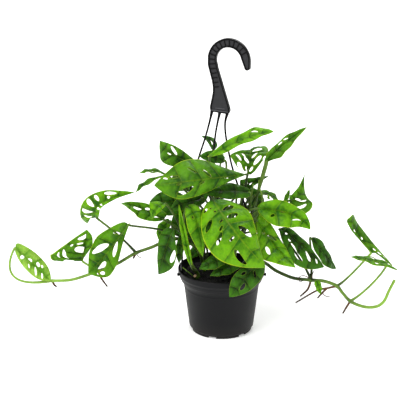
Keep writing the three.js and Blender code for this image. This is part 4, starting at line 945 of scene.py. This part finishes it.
         fold=(27, 6), sway=(-28, -7, 3), arrive=(8, 0, -8), holes=[(-1, 0.21, 0.48, 0.023, 0.37, 0.06),
         (-1, 0.326, 0.53, 0.026, 0.37, 0.02), (-1, 0.442, 0.54, 0.024, 0.29, -0.05),
         (-1, 0.648, 0.64, 0.081, 0.19, -0.27), (1, 0.444, 0.18, 0.021, 0.58, -0.09),
         (1, 0.297, 0.68, 0.025, 0.5, -0.07), (-1, 0.634, 0.22, 0.024, 0.16, -0.09),
         (-1, 0.146, 0.45, 0.008, 0.29, 0.12)]),
    grow("vine_left_3", "mid", "vine_left", 6, (-14, 3, 8), (-235, -42, 27), (-224, -52, 87),
         (-0.2, -1, 0.3), bow=0, width=(54, 13), pattern="medium", swell=(0.14, 0.68), lobe=(0.59, -0.05),
         fold=(38, 11), sway=(-1, 2, -17), arrive=(8, 0, -6), holes=[(-1, 0.826, 0.3, 0.062, 0.44, -0.16),
         (-1, 0.508, 0.14, 0.089, 0.32, 0.03), (-1, 0.292, 0.64, 0.04, 0.21, 0.6),
         (-1, 0.228, 0.79, 0.035, 0.1, 0.92), (-1, 0.571, 0.71, 0.033, 0.05, -0.09),
         (-1, 0.667, 0.34, 0.023, 0.19, -0.15)]),
    grow("vine_left_4", "bright", "vine_left", 7, (-104, 2, -20), (-347, -38, 50), (-289, -43, -9),
         (0.2, -1, 0.5), bow=2, width=(17, 15), pattern="medium", swell=(0.32, 0.36), lobe=(0.18, 0),
         fold=(12, 15), sway=(11, 1, -12), arrive=(-4, 6, -6), holes=[(1, 0.165, 0.28, 0.027, 0.35, -0.06),
         (-1, 0.308, 0.03, 0.043, 0.2, -0.02), (-1, 0.447, 0.33, 0.045, 0.17, -0.18),
         (-1, 0.516, 0.5, 0.032, 0.11, -0.15), (1, 0.324, 0.48, 0.019, 0.16, 0.07),
         (1, 0.492, 0.43, 0.029, 0.37, 0.07), (1, 0.679, 0.39, 0.029, 0.37, 0.04)]),
    grow("vine_right_1", "mid", "vine_right", 2, (20, -2, 14), (254, -22, 34), (220, -23, 104),
         (0.3, -0.9, 0.5), bow=-8, width=(10, 24), pattern="small", swell=(0.7, 0.15), lobe=(0.49, 1.27),
         fold=(10, -18), sway=(-18, 11, 13), arrive=(-8, 5, -11),
         holes=[(-1, 0.476, 0.13, 0.039, 0.32, -0.07), (1, 0.284, 0.13, 0.021, 0.08, 0.1),
         (1, 0.15, 0.41, 0.013, 0.09, 0.12), (1, 0.121, 0.57, 0.016, 0.11, 0.03),
         (1, 0.113, 0.83, 0.013, 0.09, 0)]),
    grow("vine_right_2", "mid", "vine_right", 3, (22, -2, 14), (276, -50, 24), (212, -66, 44), (0.1, 0, 1),
         bow=1, width=(18, 20), pattern="small", swell=(0.25, 0.25), lobe=(0.7, 0.4), arrive=(-3, 4, -16),
         gaps=((0, 0.4, 0.2), (0, 0.4, 0)))]
# Two blades take another skin than the others of their green: vine_left_4 a paler one, and right_dark a
# brighter one, painted light against the shade that falls on it.
SKINS = {"vine_left_4": "pale", "right_dark": "bright"}
for leaf in LEAVES:
    skin = greens[SKINS.get(leaf["name"], leaf["green"])]
    mount(blade_piece(leaf, skin), "leaf_" + leaf["green"], "leaf_" + leaf["name"])

# ---------------------------------------------------------------- stems, petioles and roots
# Each green vine stands in its own planting hole and is ringed at its nodes, where the
# petioles grow. A petiole ends in a knuckle under its blade and runs on as the midrib.
# Brown aerial roots hang from the trailing nodes.
STEM = 2.95
PETIOLE = 1.9
# A stem thickens at its nodes. A petiole thickens in the sheath at its foot and in its knuckle.
NODE_RING = 0.7
SHEATH = 0.7
KNUCKLE = 0.2
PETIOLE_STEPS = 24


def planted(x, y):
    """A stem's first points: straight up out of its hole in the soil."""
    return [(x, y, z) for z in (-48, -30, -7)]


STEMS = {
    "stem_middle": planted(18, -12) + NODES["stem_middle"],
    "stem_back": planted(5, 24) + NODES["stem_back"],
    "stem_front": planted(-40, -18) + NODES["stem_front"],
    "vine_left": planted(-30, 4) + [
        (-32, -1, 6), *NODES["vine_left"][1:5], (-95, -31, 59), (-118, -38, 50.5), (-144, -42, 42),
        (-177, -45, 23), (-208, -45, 10.5), (-227, -45, 3), (-256, -42, -7), (-288, -40, -9.5)],
    "vine_right": planted(34, 2) + [
        (37, -2, 6), (52, -14, 20), (66, -8, 14), (77, 0, 6), (90, -4, -3), (104, -9, -9),
        (124, -15, -14.8), (153, -20, -16.2), (175, -22, -17.5), (197.5, -24, -26), (208, -25, -39),
        (221, -26, -53), (240, -26, -62), (255, -26, -64.5), (269, -26, -62), (279, -26, -53),
        (286, -26, -35), (295, -26, -14)]}
ROOTS = [
    [(-144, -42, 42), (-146, -44, 38), (-149, -46, 33)],
    [(-208, -45, 10), (-203, -47, -2), (-193, -50, -16)],
    [(-287, -40, -9), (-284, -41, -16), (-280, -41, -20)],
    [(153, -20, -16), (148, -22, -32), (135, -24, -45)],
    [(197, -24, -26), (180, -26, -29), (165, -27, -32), (127, -28, -55)],
    [(180, -26, -29), (172, -26, -38), (165, -24, -48)],
    [(221, -26, -53), (214, -26, -66), (209, -26, -76)]]
# Finer roots that curl out of the nodes.
FINE_ROOTS = [
    [(153, -20, -16), (147, -20, -11), (139, -20, -8), (132, -20, -12), (134, -20, -19), (139, -20, -18)],
    [(153, -20, -16), (155, -21, -6), (158, -22, 3)],
    [(172, -23, -38), (178, -24, -44), (186, -24, -46)],
    [(-144, -42, 42), (-140, -44, 36), (-134, -46, 34)]]


def petiole(leaf):
    """The petiole's line from its node to its blade, then on under the midrib."""
    base, ahead, normal = midrib_at(leaf, 0)
    start = Vector(leaf["node"])
    if leaf["arrive"]:
        arrival, seat = Vector(leaf["arrive"]), 0.9
    else:
        arrival, seat = -ahead * 0.1 * (base - start).length, 0.5
    end = base + arrival.normalized() * seat
    near, far = start + Vector(leaf["leave"]), end + arrival
    line = []
    for i in range(PETIOLE_STEPS + 1):
        t = i / PETIOLE_STEPS
        point = (start * (1 - t) ** 3 + near * 3 * t * (1 - t) ** 2 + far * 3 * t * t * (1 - t)
                 + end * t ** 3)
        sheath = SHEATH * math.exp(-(t / 0.12) ** 2)
        wing = leaf["wing"]
        knuckle = (KNUCKLE + wing) * math.exp(-((t - 0.93) / (0.05 + wing / 12)) ** 2)
        line.append((point, PETIOLE + sheath + knuckle))
    for i in range(1, 19):
        point, ahead, normal = midrib_at(leaf, i / 20)
        line.append((point - normal * (0.9 - 0.4 * i / 19), 1.1 - 0.85 * i / 19))
    return line


# Stalk: green skin with a low gloss, dark and woody where it is old and paler at its young end.
stalk, tree, shader = surface("green_stalk", Roughness=0.45, IOR=1.45, Specular_IOR_Level=0.3,
                              Subsurface_Weight=0.2, Subsurface_Scale=0.002,
                              Subsurface_Radius=(0.5, 1, 0.2))
where = add(tree, "ShaderNodeTexCoord").outputs["Object"]
share = add(tree, "ShaderNodeAttribute", attribute_name="along")
mottle = add(tree, "ShaderNodeTexNoise", {"Vector": where, "Scale": 60, "Detail": 3})
speckle = add(tree, "ShaderNodeTexNoise", {"Vector": where, "Scale": 700, "Detail": 2})
tone = add(tree, "ShaderNodeMapRange", {
    "Value": mottle, "From Min": 0.35, "From Max": 0.65, "To Min": -0.15, "To Max": 0.15})
# The vines are younger the further they trail from the pot, over 150 to 270 mm.
from_pot = add(tree, "ShaderNodeVectorMath", {0: where, 1: (1, 0, 0)}, operation="MULTIPLY")
reach = add(tree, "ShaderNodeVectorMath", {0: from_pot}, operation="LENGTH")
trailing = add(tree, "ShaderNodeMapRange", {"Value": reach, "From Min": 0.15, "From Max": 0.27})
older = add(tree, "ShaderNodeMath", {0: share.outputs["Fac"], 1: 0.75}, operation="MULTIPLY")
younger = add(tree, "ShaderNodeMath", {0: older, 1: trailing}, operation="MAXIMUM")
age = add(tree, "ShaderNodeMath", {0: younger, 1: tone}, operation="ADD")
young = add(tree, "ShaderNodeMapRange", {"Value": age, "From Min": 0.15, "From Max": 1.05})
two_tones(tree, shader, young, "#263a0c", "#86ae40", height=speckle, strength=0.2, depth=0.2)

for name, route in STEMS.items():
    main = []
    for point, radius in through(route, [STEM, STEM, STEM * 0.85], 10):
        distances = [(point - Vector(node)).length for node in NODES[name]]
        swelling = sum(NODE_RING * math.exp(-(distance / 3.5) ** 2) for distance in distances)
        main.append((point, radius + swelling))
    lines = [main] + [petiole(leaf) for leaf in LEAVES if leaf["stem"] == name]
    mount(tube_piece(name + "_stalks", lines, sides=10, spacing=2, material=stalk), "stalk", name)

# Aerial roots: corky, brown and dry, darker at the tips.
cork, tree, shader = surface("aerial_root_cork", Roughness=0.8, IOR=1.45)
share = add(tree, "ShaderNodeAttribute", attribute_name="along")
where = add(tree, "ShaderNodeTexCoord").outputs["Object"]
rough = add(tree, "ShaderNodeTexNoise", {"Vector": where, "Scale": 800, "Detail": 3})
two_tones(tree, shader, share.outputs["Fac"], "#5c3c1c", "#2e1b0b", height=rough, strength=0.5, depth=0.3)
root_lines = [through(route, [2, 1.8, 1.3]) for route in ROOTS]
root_lines += [through(route, [0.8, 0.6]) for route in FINE_ROOTS]
mount(tube_piece("aerial_roots", root_lines, sides=8, spacing=1.5, material=cork), "stalk")

# Bare petioles stand in the crown behind the leaves.
CROWN_PETIOLES = [
    [(-6, 24, 60), (-10, 12, 112), (-15, 6, 147), (-14, 6, 169), (-12, 6, 190), (-8, 7, 205)],
    [(-2, 24, 60), (0, 12, 112), (-5, 8, 145), (-5, 8, 169), (-1, 8, 188), (2, 9, 200)],
    [(24, -14, 40), (40, 6, 80), (48, 8, 110), (51, 8, 130), (53, 9, 147)],
    [(24, -14, 40), (50, 4, 88), (58, 4, 115), (61, 4, 138), (63, 5, 155)],
    [(28, -12, 75), (56, -4, 92), (66, -2, 113), (68, -2, 129), (64, -1, 141)]]
crown_lines = [through(route, [2.2, 1.8, 1.4]) for route in CROWN_PETIOLES]
mount(tube_piece("crown_petioles", crown_lines, sides=10, spacing=2, material=stalk), "stalk")

# A stem cut back to a stub, with a pale dry cut, and the bare petiole left beside it.
stub = [(-40, -20, -16), (-43, -27, -9), (-45.4, -32, -3.9)]
bare_petiole = [(-44, -26, -14), (-50, -31, -3), (-58, -31, 4), (-65.7, -30, 11)]
cut_lines = [through(stub, [2.6, 2.6]), through(bare_petiole, [1.3, 0.9])]
mount(tube_piece("cut_stub", cut_lines, sides=10, spacing=1.5, material=stalk), "stalk")
dry_cut = surface("dry_cut", Roughness=0.9, IOR=1.45, Base_Color=linear("#b79a78"))[0]
below, top = Vector(stub[1]), Vector(stub[2])
cut_face = [(top, 2.7), (top + (top - below) * 0.1, 2.5)]
mount(tube_piece("cut_face", [cut_face], sides=12, spacing=0.5, material=dry_cut), "stalk")

# ---------------------------------------------------------------- floor, light and camera
# A plain pale floor that runs out of sight, soft light from large lamps, and a camera a
# little above the plant that looks down on it.
floor_paint = surface("matt_white_floor", Roughness=1, IOR=1.45, Base_Color=linear("#f6f6f5"),
                      Emission_Color=linear("#ffffff"), Emission_Strength=0.3)[0]
# The floor is 120 m across and lies 0.3 mm under the pot's foot.
under_foot = Matrix.Translation((HOOK_BEARING.x, HOOK_BEARING.y, -POT_HEIGHT - 0.3))
floor_disc = bmesh.new()
bmesh.ops.create_circle(floor_disc, cap_ends=True, segments=64, radius=60000, matrix=under_foot)
floor = solid("floor", floor_disc, floor_paint)

world = bpy.data.worlds.new("studio")
world.use_nodes = True
background = world.node_tree.nodes["Background"].inputs
background["Color"].default_value = linear("#ffffff")
background["Strength"].default_value = 0.42
bpy.context.scene.world = world
bpy.context.scene.view_settings.view_transform = "Standard"

daylight = bpy.data.lights.new("key", "SUN")
daylight.energy = 2.7
daylight.angle = math.radians(45)
shown("key", daylight).rotation_euler = Vector((-0.55, -0.6, 1)).to_track_quat("Z", "Y").to_euler()
plant_middle = Vector((0, 0, -0.25))
for name, at, size, power in (("fill", (1.5, -1.4, 0.5), 1.2, 7), ("back", (0.4, 1.3, 1.2), 1.0, 22)):
    lamp = bpy.data.lights.new(name, "AREA")
    lamp.size = size
    lamp.energy = power
    light = shown(name, lamp)
    light.location = at
    light.rotation_euler = (plant_middle - Vector(at)).to_track_quat("-Z", "Y").to_euler()

lens = bpy.data.cameras.new("camera")
lens.lens = 98
lens.sensor_width = 36
camera = shown("camera", lens)
camera.location = (-0.0343, -1.8103, 0.3427)
camera.rotation_euler = (math.radians(90 - 18.8), 0, 0)
bpy.context.scene.camera = camera
